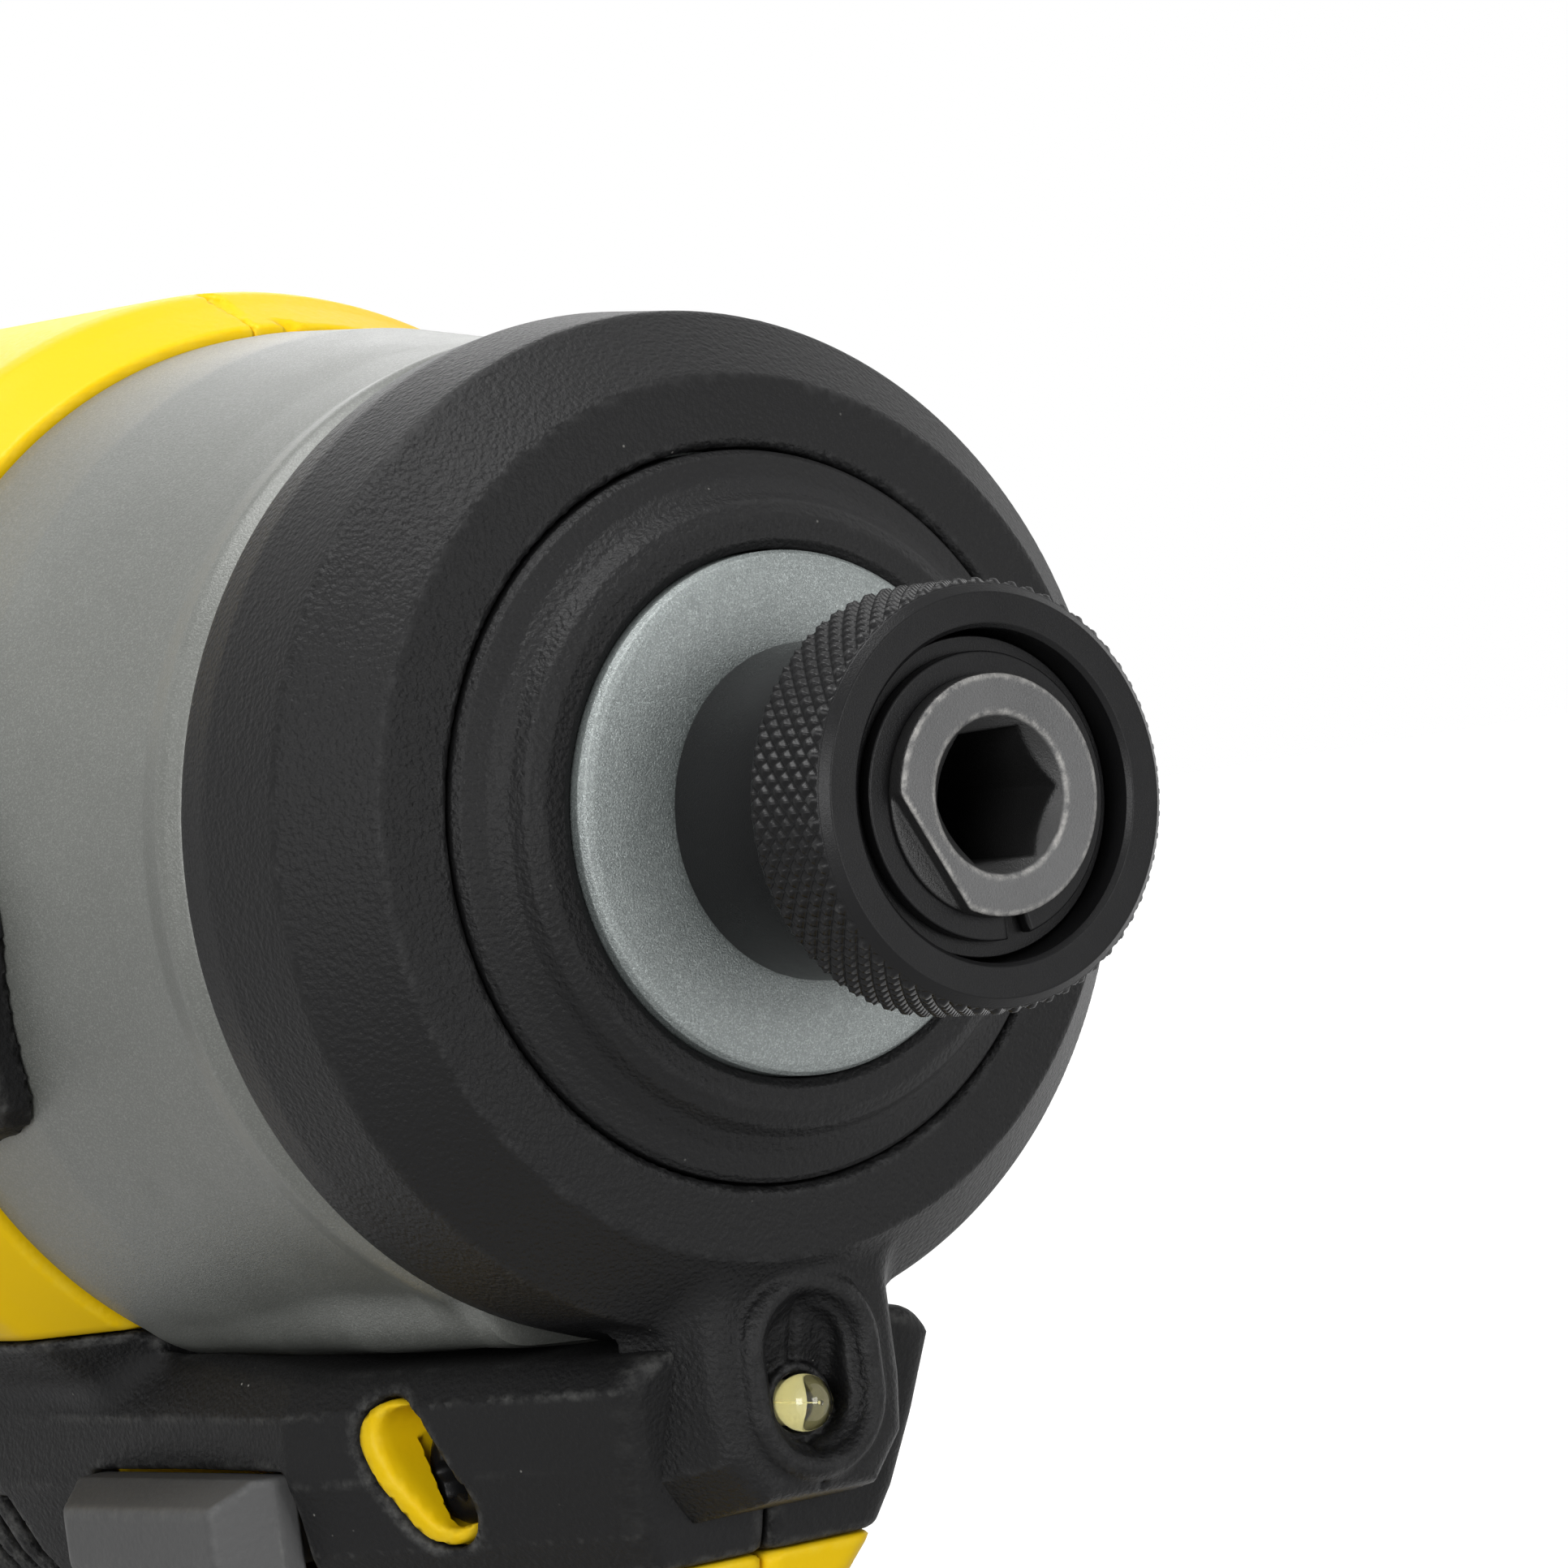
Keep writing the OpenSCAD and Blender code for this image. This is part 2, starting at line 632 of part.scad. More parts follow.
module nose_boot() {
    inner = case_front_r - 0.7 + seat;
    oval_mid = -(lamp_drop - 1.35);
    color(soft_black) at_spindle() difference() {
        union() {
            turned([[ring_outer_r + 0.15, -case_shoulder + 0.05], [ring_outer_r + 0.15, case_front - 4.5],
                [ring_outer_r + 0.5, case_front - 4.2], [boot_face_r, case_front - 4.72],
                [boot_r - 0.5, case_front - 8.9], [boot_r, -boot_rear + 3.5],
                    [boot_r - 0.3, -boot_rear + 0.9],
                [inner + boot_wall - 0.9, -boot_rear], [inner, -boot_rear], [inner, -case_shoulder - 3.6]]);
            difference() {
                hull() {
                    along(-27.7, -27.2) polygon([[-8.1, -20], [8.1, -20], [8.1, -26.4], [7.4, -30.5],
                        [7.6, -33.65], [5, -35.9], [-5, -35.9], [-7.6, -33.65], [-7.4, -30.5],
                            [-8.1, -26.4]]);
                    along(-lamp_boss_front - 0.8, -lamp_boss_front - 0.3) polygon([[-5.6, -20], [5.6, -20],
                        [5.6, -31.6], [3.6, -34.9], [-3.6, -34.9], [-5.6, -31.6]]);
                }
                bar(inner, -40, 0);
            }
            along(-lamp_boss_front - 0.6, -lamp_boss_front + 0.25)
                stadium([0, oval_mid - 1.6], [0, oval_mid + 1.6], 4);
        }
        along(-lamp_boss_front - 1.4, -lamp_boss_front + 1)
            stadium([0, oval_mid - 1.6], [0, oval_mid + 1.6], 2.4);
        translate([0, 0, -lamp_drop]) bar(lamp_r + seat, -29, -20, 48);
    }
}

module work_lamp() {
    dome = -lamp_boss_front - 0.9 - lamp_r;
    color(lamp_clear) at_spindle() translate([0, 0, -lamp_drop]) {
        bar(lamp_r, lamp_back, dome, 48);
        translate([dome, 0, 0]) sphere(r = lamp_r, $fn = 48);
    }
}

module lamp_leads() {
    color(hard_black) at_spindle() for (side = [-1, 1])
        translate([0, side * 0.8, lead_z]) bar(lead_r, -66, lamp_back - seat, 24);
}

module hammer() {
    ball_reach = cam_r + 0.1;
    color(dark_steel) at_spindle() difference() {
        union() {
            tube(hammer_r, cam_r + fit, hammer_back, hammer_front);
            intersection() {
                tube(hammer_r - 1.5, anvil_core_r + play, hammer_front - 0.5, lug_front - play);
                translate([hammer_front - 1, -lug_w / 2, -hammer_r - 1])
                    cube([lug_len + 4, lug_w, 2 * hammer_r + 2]);
            }
        }
        tube(hammer_r - 3.4, cam_r + 4, hammer_back - 1, recess_floor);
        for (side = [-1, 1]) translate([0, side * ball_reach, 0])
            bar(cam_ball_r + fit, cam_ball_x - cam_ball_r - play, hammer_front + 1, 48);
    }
}

module hammer_spring() {
    mid_r = (hammer_r - 3.4 + cam_r + 4) / 2;
    back = spring_seat_x + hammer_wire_r + seat;
    front = recess_floor - hammer_wire_r - seat;
    color(steel) at_spindle() coil(mid_r, hammer_wire_r, back, front, 4);
    echo(hammer_spring_gap = (front - back) / 4 - 2 * hammer_wire_r);
}

module cam_balls() {
    color(steel) at_spindle() for (side = [-1, 1])
        translate([cam_ball_x, side * (cam_r + 0.1), 0]) sphere(r = cam_ball_r, $fn = 32);
}

module planet_carrier() {
    color(steel) at_spindle() difference() {
        union() {
            bar(pilot_r, lug_back + pilot_len, hammer_front, 64);
            bar(cam_r, hammer_front - play, spring_seat_x, 96);
            bar(cam_r - 0.4, hammer_front, hammer_front - play, 96);
            bar(18.5, spring_seat_x, gear_front + play);
            for (a = planet_places) rotate([a + 60, 0, 0]) translate([0, 0, post_place])
                bar(post_r, spring_seat_x - 1, carrier_back + 1, 32);
            bar(planet_distance + 4.4, gear_back - play, carrier_back);
            bar(hub_r, carrier_back, carrier_back - hub_len);
        }
        bar(gear_m * (sun_teeth / 2 + addendum) + 0.5, carrier_back - hub_len - 1, gear_front + play + 1, 48);
        for (a = planet_places) rotate([a, 0, 0]) translate([0, 0, planet_distance])
            bar(pin_r + 0.02, carrier_back - 1, gear_front + 1.4, 48);
        for (side = [-1, 1]) translate([cam_ball_x, side * (cam_r + 0.1), 0])
            sphere(r = cam_ball_r + fit, $fn = 48);
    }
}

module planet_pins() {
    color(steel) at_spindle() for (a = planet_places) rotate([a, 0, 0]) translate([0, 0, planet_distance])
        bar(pin_r, carrier_back, gear_front + 1.4, 48);
}

// Planet gear whose teeth mesh with the pinion and the ring at its place around the carrier
module planet_gear(place) {
    spaces_at = 180 / planet_teeth;
    color(steel) at_spindle() rotate([place, 0, 0]) translate([gear_back, 0, planet_distance])
        rotate([-place, 0, 0]) rotate([0, 90, 0]) difference() {
            linear_extrude(height = gear_w) rotate(spaces_at) polygon(gear_outline(planet_teeth));
            translate([0, 0, -1]) cylinder(r = pin_r + fit, h = gear_w + 2, $fn = 48);
        }
}

module planet_gear_1() {
    planet_gear(planet_places[0]);
}

module planet_gear_2() {
    planet_gear(planet_places[1]);
}

module planet_gear_3() {
    planet_gear(planet_places[2]);
}

module ring_gear() {
    pitch_r = gear_m * ring_teeth / 2;
    color(steel) at_spindle() translate([gear_back - 0.3, 0, 0]) rotate([0, 90, 0]) difference() {
        cylinder(r = case_bore_r - seat, h = gear_w + 0.6, $fn = 128);
        translate([0, 0, -1]) linear_extrude(height = gear_w + 3) rotate(180 / ring_teeth)
            polygon(lobes(ring_teeth, pitch_r - addendum * gear_m, pitch_r + dedendum * gear_m, backlash));
    }
}

module gearbox_plate() {
    color(hard_black) at_spindle() difference() {
        bar(case_bore_r - seat, plate_back, plate_front);
        bar(post_place + post_r + play, carrier_back - play, plate_front + 1);
        bar(bearing_r + seat, carrier_back - hub_len - play, plate_front + 1);
        bar(shaft_r + 2, plate_back - 1, plate_front + 1, 64);
        bar(motor_bearing_r + seat, plate_back - 1, plate_back + motor_bearing_w);
    }
}

module carrier_bearing() {
    color(steel) at_spindle() tube(bearing_r, hub_r + fit, carrier_back - hub_len, carrier_back - play);
}

module front_motor_bearing() {
    color(steel) at_spindle() tube(motor_bearing_r, shaft_r + fit, plate_back, plate_back + motor_bearing_w);
}

module rear_motor_bearing() {
    color(steel) at_spindle() tube(motor_bearing_r, shaft_r + fit, shaft_rear, rear_bearing_x);
}

module rotor_shaft() {
    color(steel) at_spindle() {
        bar(shaft_r, shaft_rear, gear_back - 0.5, 64);
        translate([gear_back - 0.5, 0, 0]) rotate([0, 90, 0]) linear_extrude(height = gear_w + 0.5)
            polygon(gear_outline(sun_teeth));
    }
}

module rotor_magnets() {
    pole_gap = 1;
    color(dark_steel) at_spindle() difference() {
        tube(rotor_r, shaft_r + 0.02, stator_back, stator_front);
        for (a = [0 : 90 : 270]) rotate([a, 0, 0]) translate([stator_back - 1, -pole_gap / 2, rotor_r - 1])
            cube([stator_len + 2, pole_gap, 2]);
    }
}

module fan() {
    blades = 12;
    hub = 8;
    color(hard_black) at_spindle() {
        tube(hub, shaft_r + 0.02, fan_front - fan_w, fan_front, 64);
        tube(fan_r, hub - 0.5, fan_front - 1.6, fan_front);
        for (i = [0 : blades - 1]) rotate([360 * i / blades, 0, 0])
            translate([fan_front - fan_w, -0.6, hub - 0.5]) cube([fan_w - 1, 1.2, fan_r - hub - 0.5]);
    }
}

module stator() {
    slots = 6;
    bore = rotor_r + 0.5;
    color(dark_steel) at_spindle() difference() {
        bar(stator_r, stator_back, stator_front);
        bar(bore, stator_back - 1, stator_front + 1);
        for (i = [0 : slots - 1]) rotate([360 * (i + 0.5) / slots, 0, 0]) {
            translate([stator_back - 1, -1, 0]) cube([stator_len + 2, 2, stator_r - 8]);
            intersection() {
                tube(stator_r - 4, bore + 2, stator_back - 1, stator_front + 1);
                translate([stator_back - 1, -4.6, bore]) cube([stator_len + 2, 9.2, stator_r - bore]);
            }
        }
    }
}

module stator_coils() {
    slots = 6;
    height = stator_r - rotor_r - 7;
    color(copper) at_spindle() for (i = [0 : slots - 1]) rotate([360 * i / slots, 0, 0])
        for (x = [stator_front + seat, stator_back - 3 - seat])
            translate([x, -4.2, rotor_r + 2.7]) cube([3, 8.4, height]);
}

module sensor_board() {
    board_x = stator_front + 3.4;
    color(board_green) at_spindle() tube(stator_r - 1.5, shaft_r + 3, board_x, board_x + 1.2);
}

// Round barrel of the housing with its rear dome, closed behind
module barrel_skin() {
    turned([[0, -housing_front - 2], [case_rear_r + seat, -housing_front],
        [case_rear_r + 0.5, -housing_front],
        [barrel_r - 1, -housing_front - 2.9], [barrel_r - 0.2, -housing_front - 4.4],
            [barrel_r, -housing_front - 5.5],
        [barrel_r, -barrel_rear + 25.2], [barrel_r - 0.7, -barrel_rear + 24.9],
            [barrel_r - 0.7, -barrel_rear + 24.1],
        [barrel_r - 0.1, -barrel_rear + 23.6], [barrel_r - 0.9, -barrel_rear + 10],
            [barrel_r - 3, -barrel_rear + 4],
        [barrel_r - 6, -barrel_rear + 1], [barrel_r - 9, -barrel_rear], [0, -barrel_rear]]);
}

// Room inside the barrel, with seats for the case's flange, the stator and the rear bearing
module barrel_room() {
    rear = shaft_rear - play;
    turned([[0, -housing_front + 1], [case_rear_r + seat, -housing_front + 1],
        [case_rear_r + seat, flange_front + 0.05], [flange_r + seat, flange_front + 0.05],
        [flange_r + seat, flange_front - flange_len - 0.05],
            [case_rear_r + seat, flange_front - flange_len - 0.05],
        [case_rear_r + seat, flange_front - flange_len - 6], [barrel_bore_r, flange_front - flange_len - 7],
        [barrel_bore_r, stator_front - 2], [stator_r + seat, stator_front - 2],
            [stator_r + seat, stator_front - 5],
        [barrel_bore_r, stator_front - 5], [barrel_bore_r, stator_back + 5],
            [stator_r + seat, stator_back + 5],
        [stator_r + seat, stator_back + 2], [barrel_bore_r, stator_back + 2],
        [barrel_bore_r, rear_bearing_x + 1], [barrel_bore_r - 3, rear_bearing_x - 1],
        [motor_bearing_r + 2, rear_bearing_x - 1], [motor_bearing_r + seat, rear_bearing_x],
        [motor_bearing_r + seat, rear], [0, rear]]);
}

// Block of the chin under the case, shrunk by the given amount on its sides and front
module chin_solid(shrink) {
    hull() {
        along(-28 - shrink, -27.7 - shrink) polygon([[-8.7 + shrink, -25.6], [8.7 - shrink, -25.6],
            [10.8 - shrink, -28.3], [8.3 - shrink, -34], [3.3 - shrink, keel_bottom],
            [-3.3 + shrink, keel_bottom], [-8.3 + shrink, -34], [-10.8 + shrink, -28.3]]);
        along(-84, -47.5) polygon([[-14.5 + shrink, -25.6], [14.5 - shrink, -25.6], [16 - shrink, -28],
            [chin_half_w - shrink, -32], [chin_half_w - 1.4 - shrink, -37],
            [chin_half_w - 5.5 - shrink, keel_bottom], [5.5 - chin_half_w + shrink, keel_bottom],
            [1.4 - chin_half_w + shrink, -37], [shrink - chin_half_w, -32], [1 - chin_half_w + shrink, -28]]);
    }
}

// Side outline of the soft patch on the barrel
module patch_outline() {
    polygon([[-49.5, -12], [-55.5, 12], [-66, 12.5], [-100, 9], [-106, 4], [-106, -8], [-99, -13.5],
        [-66, -13.5]]);
}

// Turned block that the patch outline is cut from, grown inward and outward by the given amount
module patch_blank(grow) {
    turned([[case_rear_r + seat - grow, -40], [barrel_r - 1.4 + 30 * grow, -40],
        [barrel_r - 1.2 + 30 * grow, -60],
        [barrel_r + 30 * grow, -66.5], [barrel_r + 30 * grow, -110], [barrel_r - grip_t - grow, -110],
        [barrel_r - grip_t - grow, -64.5], [case_rear_r + seat - grow, -64.5]]);
}

// Zone of the soft grip seen from the side: the chin and the handle down to the foot
module grip_zone() {
    polygon([[-20, chin_bottom], [-20, -20], [-60, -20], [-140, -20], [-140, -36], [-128, foot_top + 9],
        [-108, foot_top + 3], [-84, foot_top + 3], [-70, foot_top + 9], [-60, chin_bottom - 20],
        [-72, chin_bottom - 4], [-62, chin_bottom]]);
}

// Zone of the hard foot seen from the side, just below the grip
module foot_zone() {
    polygon([[-160, foot_z - 1], [-160, foot_top + 9], [-128, foot_top + 9], [-108, foot_top + 3],
        [-84, foot_top + 3], [-70, foot_top + 9], [-40, foot_top + 9], [-40, foot_z - 1]]);
}

// Slanted inlay where the hard core comes flush with the grip on each side of the handle
module inlay_zone() {
    polygon([[-112.5, -50], [-104, -46], [-93.5, -80], [-92, -104], [-96, -120], [-99, -120], [-99.5, -96],
        [-103, -72]]);
}

// Hollow of the handle and the room for the control board above the rails
module handle_room() {
    intersection() {
        handle_solid(-grip_t - handle_wall);
        translate([-140, -20, foot_top - 2]) cube([80, 40, switch_top - foot_top + 2]);
    }
    translate([board_back - 0.5, -board_len / 2 - 1, board_z]) cube([board_len + 2, board_len + 2, 6]);
}

// Openings for the trigger, the direction button and the lamp leads
module control_cuts() {
    translate([trigger_front - trigger_depth - trigger_travel - play, -trigger_half_w - play,
        trigger_top - trigger_h - play])
        cube([60, 2 * trigger_half_w + 2 * play, trigger_h + 2 * play]);
    translate([button_mid_x - button_len / 2 - play, -40, button_z - button_h / 2 - play])
        cube([button_len + 2 * play, 80, button_h + 2 * play]);
    translate([-68, -lead_slot_w / 2, lead_z - lead_r - play]) cube([45, lead_slot_w, 2 * (lead_r + play)]);
}

// Rail channel under the foot, open at the rear
module foot_cuts() {
    front = pack_x + rail_front + 6.4;
    translate([foot_back - 5, -rail_neck - play, foot_z - 5])
        cube([front - foot_back + 5, 2 * (rail_neck + play), 5 + lip_t + 0.1]);
    translate([foot_back - 5, -rail_lip - play, foot_z + lip_t])
        cube([front - foot_back + 5, 2 * (rail_lip + play), rail_depth - lip_t]);
    for (side = [-1, 1]) translate([hook_x, 0, hook_z]) rotate([-90 * side, 0, 0])
        translate([0, 0, foot_half_w - nut_len - 0.1]) cylinder(r = nut_r, h = nut_len + 2, $fn = 48);
}

// Clamshell screw holes with their recesses on the right side
module screw_cuts() {
    for (p = screw_places) translate([p[0], p[2], p[1]]) from_right() {
        cylinder(r = screw_head_r + 0.25, h = 40, $fn = 48);
        translate([0, 0, -screw_len - 0.5]) cylinder(r = screw_r + seat, h = screw_len + 1, $fn = 32);
    }
    across(-40, screw_places[0][2]) stadium(recess_ends[0], recess_ends[1], recess_r);
}

// Air slots on both sides of the fan
module vent_cuts() {
    for (side = [-1, 1]) for (i = [0 : 4]) rotate([side * (62 + 14 * i), 0, 0])
        translate([fan_front - fan_w - 1, -1.1, 0]) cube([fan_w + 2, 2.2, 2 * barrel_r]);
}

// Hard core of both halves: barrel, chin, handle and foot with the hollows inside
module housing_core() {
    difference() {
        union() {
            barrel_skin();
            handle_solid(-grip_t);
            intersection() {
                handle_solid(0);
                union() {
                    across(-60, 60) foot_zone();
                    across(-60, 60) inlay_zone();
                }
            }
            chin_solid(grip_t);
            intersection() {
                chin_solid(0);
                union() {
                    translate([-62, -30, keel_bottom - 1]) cube([40, 60, chin_bottom - keel_bottom + 1]);
                    across(-40, -5) stadium(recess_ends[0], recess_ends[1], recess_r + 0.75);
                }
            }
        }
        barrel_room();
        handle_room();
        control_cuts();
        foot_cuts();
        screw_cuts();
        vent_cuts();
        bar(case_rear_r + seat, -housing_front, 0);
        intersection() {
            patch_blank(0.05);
            across(-60, 60) patch_outline();
        }
    }
    for (p = [screw_places[2], screw_places[3]]) difference() {
        translate([p[0], 11.5, p[1]]) from_right() cylinder(r = 3.6, h = 23, $fn = 48);
        screw_cuts();
    }
}

module half(side) {
    intersection() {
        children();
        translate([-300, side > 0 ? 0 : -100, -300]) cube([400, 100, 400]);
    }
}

module housing_left() {
    color(yellow) at_spindle() half(1) housing_core();
}

module housing_right() {
    color(yellow) at_spindle() half(-1) housing_core();
}

// Soft overmould of both halves: chin, grip and barrel patches
module overmold_core() {
    difference() {
        intersection() {
            union() {
                handle_solid(0);
                chin_solid(0);
            }
            across(-60, 60) grip_zone();
        }
        handle_solid(-grip_t);
        chin_solid(grip_t);
        bar(barrel_r, -200, -housing_front);
        bar(case_rear_r + seat, -housing_front - 1, 0);
        across(-60, 60) inlay_zone();
        across(-40, 0) stadium(recess_ends[0], recess_ends[1], recess_r + 0.75);
        control_cuts();
        screw_cuts();
    }
    intersection() {
        patch_blank(0);
        across(-60, 60) patch_outline();
    }
}

module overmold_left() {
    color(soft_black) at_spindle() half(1) overmold_core();
}

module overmold_right() {
    color(soft_black) at_spindle() half(-1) overmold_core();
}

module trigger() {
    color(soft_black) at_spindle() difference() {
        union() {
            intersection() {
                across(-trigger_half_w, trigger_half_w) difference() {
                    translate([trigger_front - trigger_depth, trigger_top - trigger_h])
                        square([trigger_depth, trigger_h]);
                    translate([trigger_front + 22, trigger_mid]) circle(r = 25, $fn = 96);
                }
                translate([0, 0, trigger_top - trigger_h]) linear_extrude(height = trigger_h) union() {
                    translate([trigger_front - trigger_depth, -trigger_half_w])
                        square([trigger_depth - 7, 2 * trigger_half_w]);
                    translate([trigger_front - 8, 0]) circle(r = trigger_half_w, $fn = 64);
                }
            }
            translate([switch_front - 8, -3, trigger_mid - 9]) cube([-switch_front - 70 + 8, 6, 5]);
        }
        translate([0, 0, trigger_mid + 3]) bar(4, trigger_front - trigger_depth - 1, trigger_front - 8, 48);
    }
}

module trigger_spring() {
    back = switch_front + 0.4 + seat;
    front = trigger_front - 8 - 0.4 - seat;
    color(steel) at_spindle() translate([0, 0, trigger_mid + 3]) coil(3.2, 0.4, back, front, 8);
    echo(trigger_spring_gap = (front - back) / 8 - 0.8);
}

module switch_body() {
    color(hard_black) at_spindle() difference() {
        translate([switch_front - switch_len, -switch_w / 2, switch_top - switch_h])
            cube([switch_len, switch_w, switch_h]);
        translate([switch_front - 17, -3 - play, trigger_mid - 9 - play])
            cube([20, 6 + 2 * play, 5 + 2 * play]);
    }
}

// Bevelled end of the direction button from y inside the slot out to its tip
module button_end() {
    inside = 15.5;
    hull() {
        translate([-button_len / 2, inside, -button_h / 2]) cube([button_len, 2.6, button_h]);
        translate([-button_len / 2 + 3.5, button_half - 0.2, -button_h / 2 + 1])
            cube([button_len - 7, 0.2, button_h - 2]);
    }
}

module direction_button() {
    color(button_grey) at_spindle() translate([button_mid_x, 0, button_z]) {
        translate([-7, -15.6, -1.6]) cube([14, 31.2, 3.2]);
        button_end();
        mirror([0, 1, 0]) button_end();
    }
}

module control_board() {
    color(board_green) at_spindle() {
        translate([board_back, -board_len / 2, board_z]) cube([board_len, board_len, 1.6]);
        for (i = [0:2]) translate([board_back + 4.5 + i * chip_pitch, -chip_pitch, board_z + 1.6])
            cube([chip_len, chip_len, 2]);
    }
}

module terminal_block() {
    block_front = pack_x + rail_front + 6.4;
    color(hard_black) at_spindle() {
        translate([block_front - 6, -17, foot_z + 0.6]) cube([6, 34, rail_depth - 0.6]);
        for (y = slot_places) translate([block_front - 6 - blade_len, y - blade_t / 2, foot_z + 1.6])
            cube([blade_len + 0.1, blade_t, 5]);
    }
}

// Flat rounded rectangle, shrunk on every side by the given amount
module pack_outline(shrink) {
    l = pack_len / 2 - shrink;
    w = pack_half_w - shrink;
    r = pack_corner_r - shrink;
    square([2 * (l - r), 2 * w], center = true);
    square([2 * l, 2 * (w - r)], center = true);
    for (x = [-l + r, l - r]) for (y = [-w + r, w - r]) translate([x, y]) circle(r = r, $fn = 32);
}

// Block of the battery's outline whose upper edges are bevelled, more so at the front
module pack_block(low, high, bevel) {
    w = pack_half_w;
    l = pack_len / 2;
    intersection() {
        translate([0, 0, low]) linear_extrude(height = high - low) pack_outline(0);
        along(-pack_len, pack_len) polygon([[-w, low], [w, low], [w, high - bevel], [w - bevel, high],
            [bevel - w, high], [-w, high - bevel]]);
        across(-pack_len, pack_len) polygon([[-l, low], [l, low], [l, high - 3 * bevel],
            [l - 2 * bevel, high],
            [bevel - l, high], [-l, high - bevel]]);
    }
}

// Finger recesses in both long sides of the battery
module grip_recesses() {
    for (side = [-1, 1]) translate([6, side * (pack_half_w - recess_deep + recess_round), pack_split + 3.2])
        cylinder(r = recess_round, h = 8.5, $fn = 192);
}

module battery_lower_case() {
    color(hard_black) difference() {
        union() {
            difference() {
                hull() {
                    linear_extrude(height = 0.4) pack_outline(0.8);
                    translate([0, 0, 2.4]) linear_extrude(height = pack_split - 2.4) pack_outline(0);
                }
                translate([0, 0, pack_wall]) linear_extrude(height = pack_split) pack_outline(pack_wall);
            }
            for (p = battery_screw_places) translate([p[0], p[1], 0.5])
                cylinder(r = boss_r, h = pack_split - 0.5, $fn = 32);
        }
        translate([0, 0, pack_split - 0.6]) linear_extrude(height = 1) difference() {
            pack_outline(-1);
            pack_outline(0.6);
        }
        for (p = battery_screw_places) translate([p[0], p[1], -1]) {
            cylinder(r = 1.8, h = 4, $fn = 32);
            cylinder(r = 1 + seat, h = 40, $fn = 32);
        }
    }
}

module battery_upper_case() {
    neck_top = pack_h + play + lip_t + play;
    head_top = pack_h + play + rail_depth - play;
    color(soft_black) difference() {
        union() {
            difference() {
                pack_block(pack_split, pack_h, 1.4);
                translate([0, 0, pack_split - 1]) linear_extrude(height = pack_h - pack_split - 1.6)
                    pack_outline(pack_wall + 0.6);
                grip_recesses();
            }
            translate([rail_back, -rail_neck, pack_h - 2])
                cube([rail_front - rail_back, 2 * rail_neck, head_top - pack_h + 2]);
            translate([rail_back, -rail_lip, neck_top]) cube([rail_front - rail_back, 2 * rail_lip,
                head_top - neck_top]);
            for (p = battery_screw_places) translate([p[0], p[1], pack_split])
                cylinder(r = boss_r, h = 12, $fn = 32);
        }
        for (y = slot_places) translate([rail_front - blade_len - 2, y - slot_w / 2, pack_h + 1])
            cube([blade_len + 4, slot_w, 20]);
        for (p = battery_screw_places) translate([p[0], p[1], pack_split - 1])
            cylinder(r = 1 + seat, h = 11, $fn = 32);
        translate([-pack_len / 2 - 1, -latch_half_w - play, latch_low - 3.6])
            cube([latch_len + 1 + play, 2 * (latch_half_w + play), 40]);
        translate([-pack_len / 2 - 1, gauge_y, gauge_z]) rotate([0, 90, 0])
            cylinder(r = gauge_r + play / 2, h = 4, $fn = 48);
    }
    translate([-pack_len / 2 + 0.8, -latch_half_w - 2, latch_low - 4.8])
        cube([latch_len + 1.5, 2 * latch_half_w + 4, 1.2]);
}

module battery_cells() {
    color(cell_blue) for (i = [0 : cell_count - 1])
        translate([(i - (cell_count - 1) / 2) * cell_pitch, 0, cell_z]) rotate([90, 0, 0])
            cylinder(r = cell_r, h = cell_len, center = true, $fn = 64);
}

module battery_contacts() {
    strip = cell_pitch * cell_count - 6;
    color(steel) {
        for (side = [-1, 1]) translate([-strip / 2, side * (cell_len / 2 + 0.2) - 0.15, cell_z - 4])
            cube([strip, 0.3, 8]);
    }
    color(brass) for (y = slot_places) for (side = [-1, 1])
        translate([rail_front - blade_len + 1, y + side * (blade_t / 2 + 0.25) - 0.1, pack_h + 1.1])
            cube([6, 0.2, 5]);
}

module latch_button() {
    top = pack_h + play / 2;
    color(hard_black) difference() {
        translate([-pack_len / 2, 0, 0]) rotate([90, 0, 0]) translate([0, 0, -latch_half_w])
            linear_extrude(height = 2 * latch_half_w)
                polygon([[0.2, latch_low], [latch_len, latch_low], [latch_len, top - 1.5],
                    [latch_len - 4, top],
                    [6, top], [4.5, top - 3], [0.2, top - 4.2]]);
        translate([-pack_len / 2 + latch_len / 2 + 1, 0, latch_low - 1]) cylinder(r = 4, h = 3, $fn = 48);
    }
}

module latch_spring() {
    low = latch_low - 3.6 + 0.35;
    high = latch_low + 2 - 0.35;
    color(steel) translate([-pack_len / 2 + latch_len / 2 + 1, 0, 0]) rotate([0, -90, 0])
        coil(3, 0.3, low, high, 3);
    echo(latch_spring_gap = (high - low) / 3 - 0.6);
}

module gauge_button() {
    color(button_grey) translate([-pack_len / 2 - 0.4, gauge_y, gauge_z]) rotate([0, 90, 0]) {
        cylinder(r = gauge_r, h = 1.8, $fn = 48);
    }
}

module housing_screws() {
    color(dark_steel) at_spindle() for (p = screw_places) translate([p[0], p[2], p[1]]) from_right()
        screw(screw_head_r, screw_r, screw_len);
}

module battery_screws() {
    color(dark_steel) for (p = battery_screw_places) translate([p[0], p[1], 3]) mirror([0, 0, 1])
        screw(1.7, 1, 20, 1.8);
}

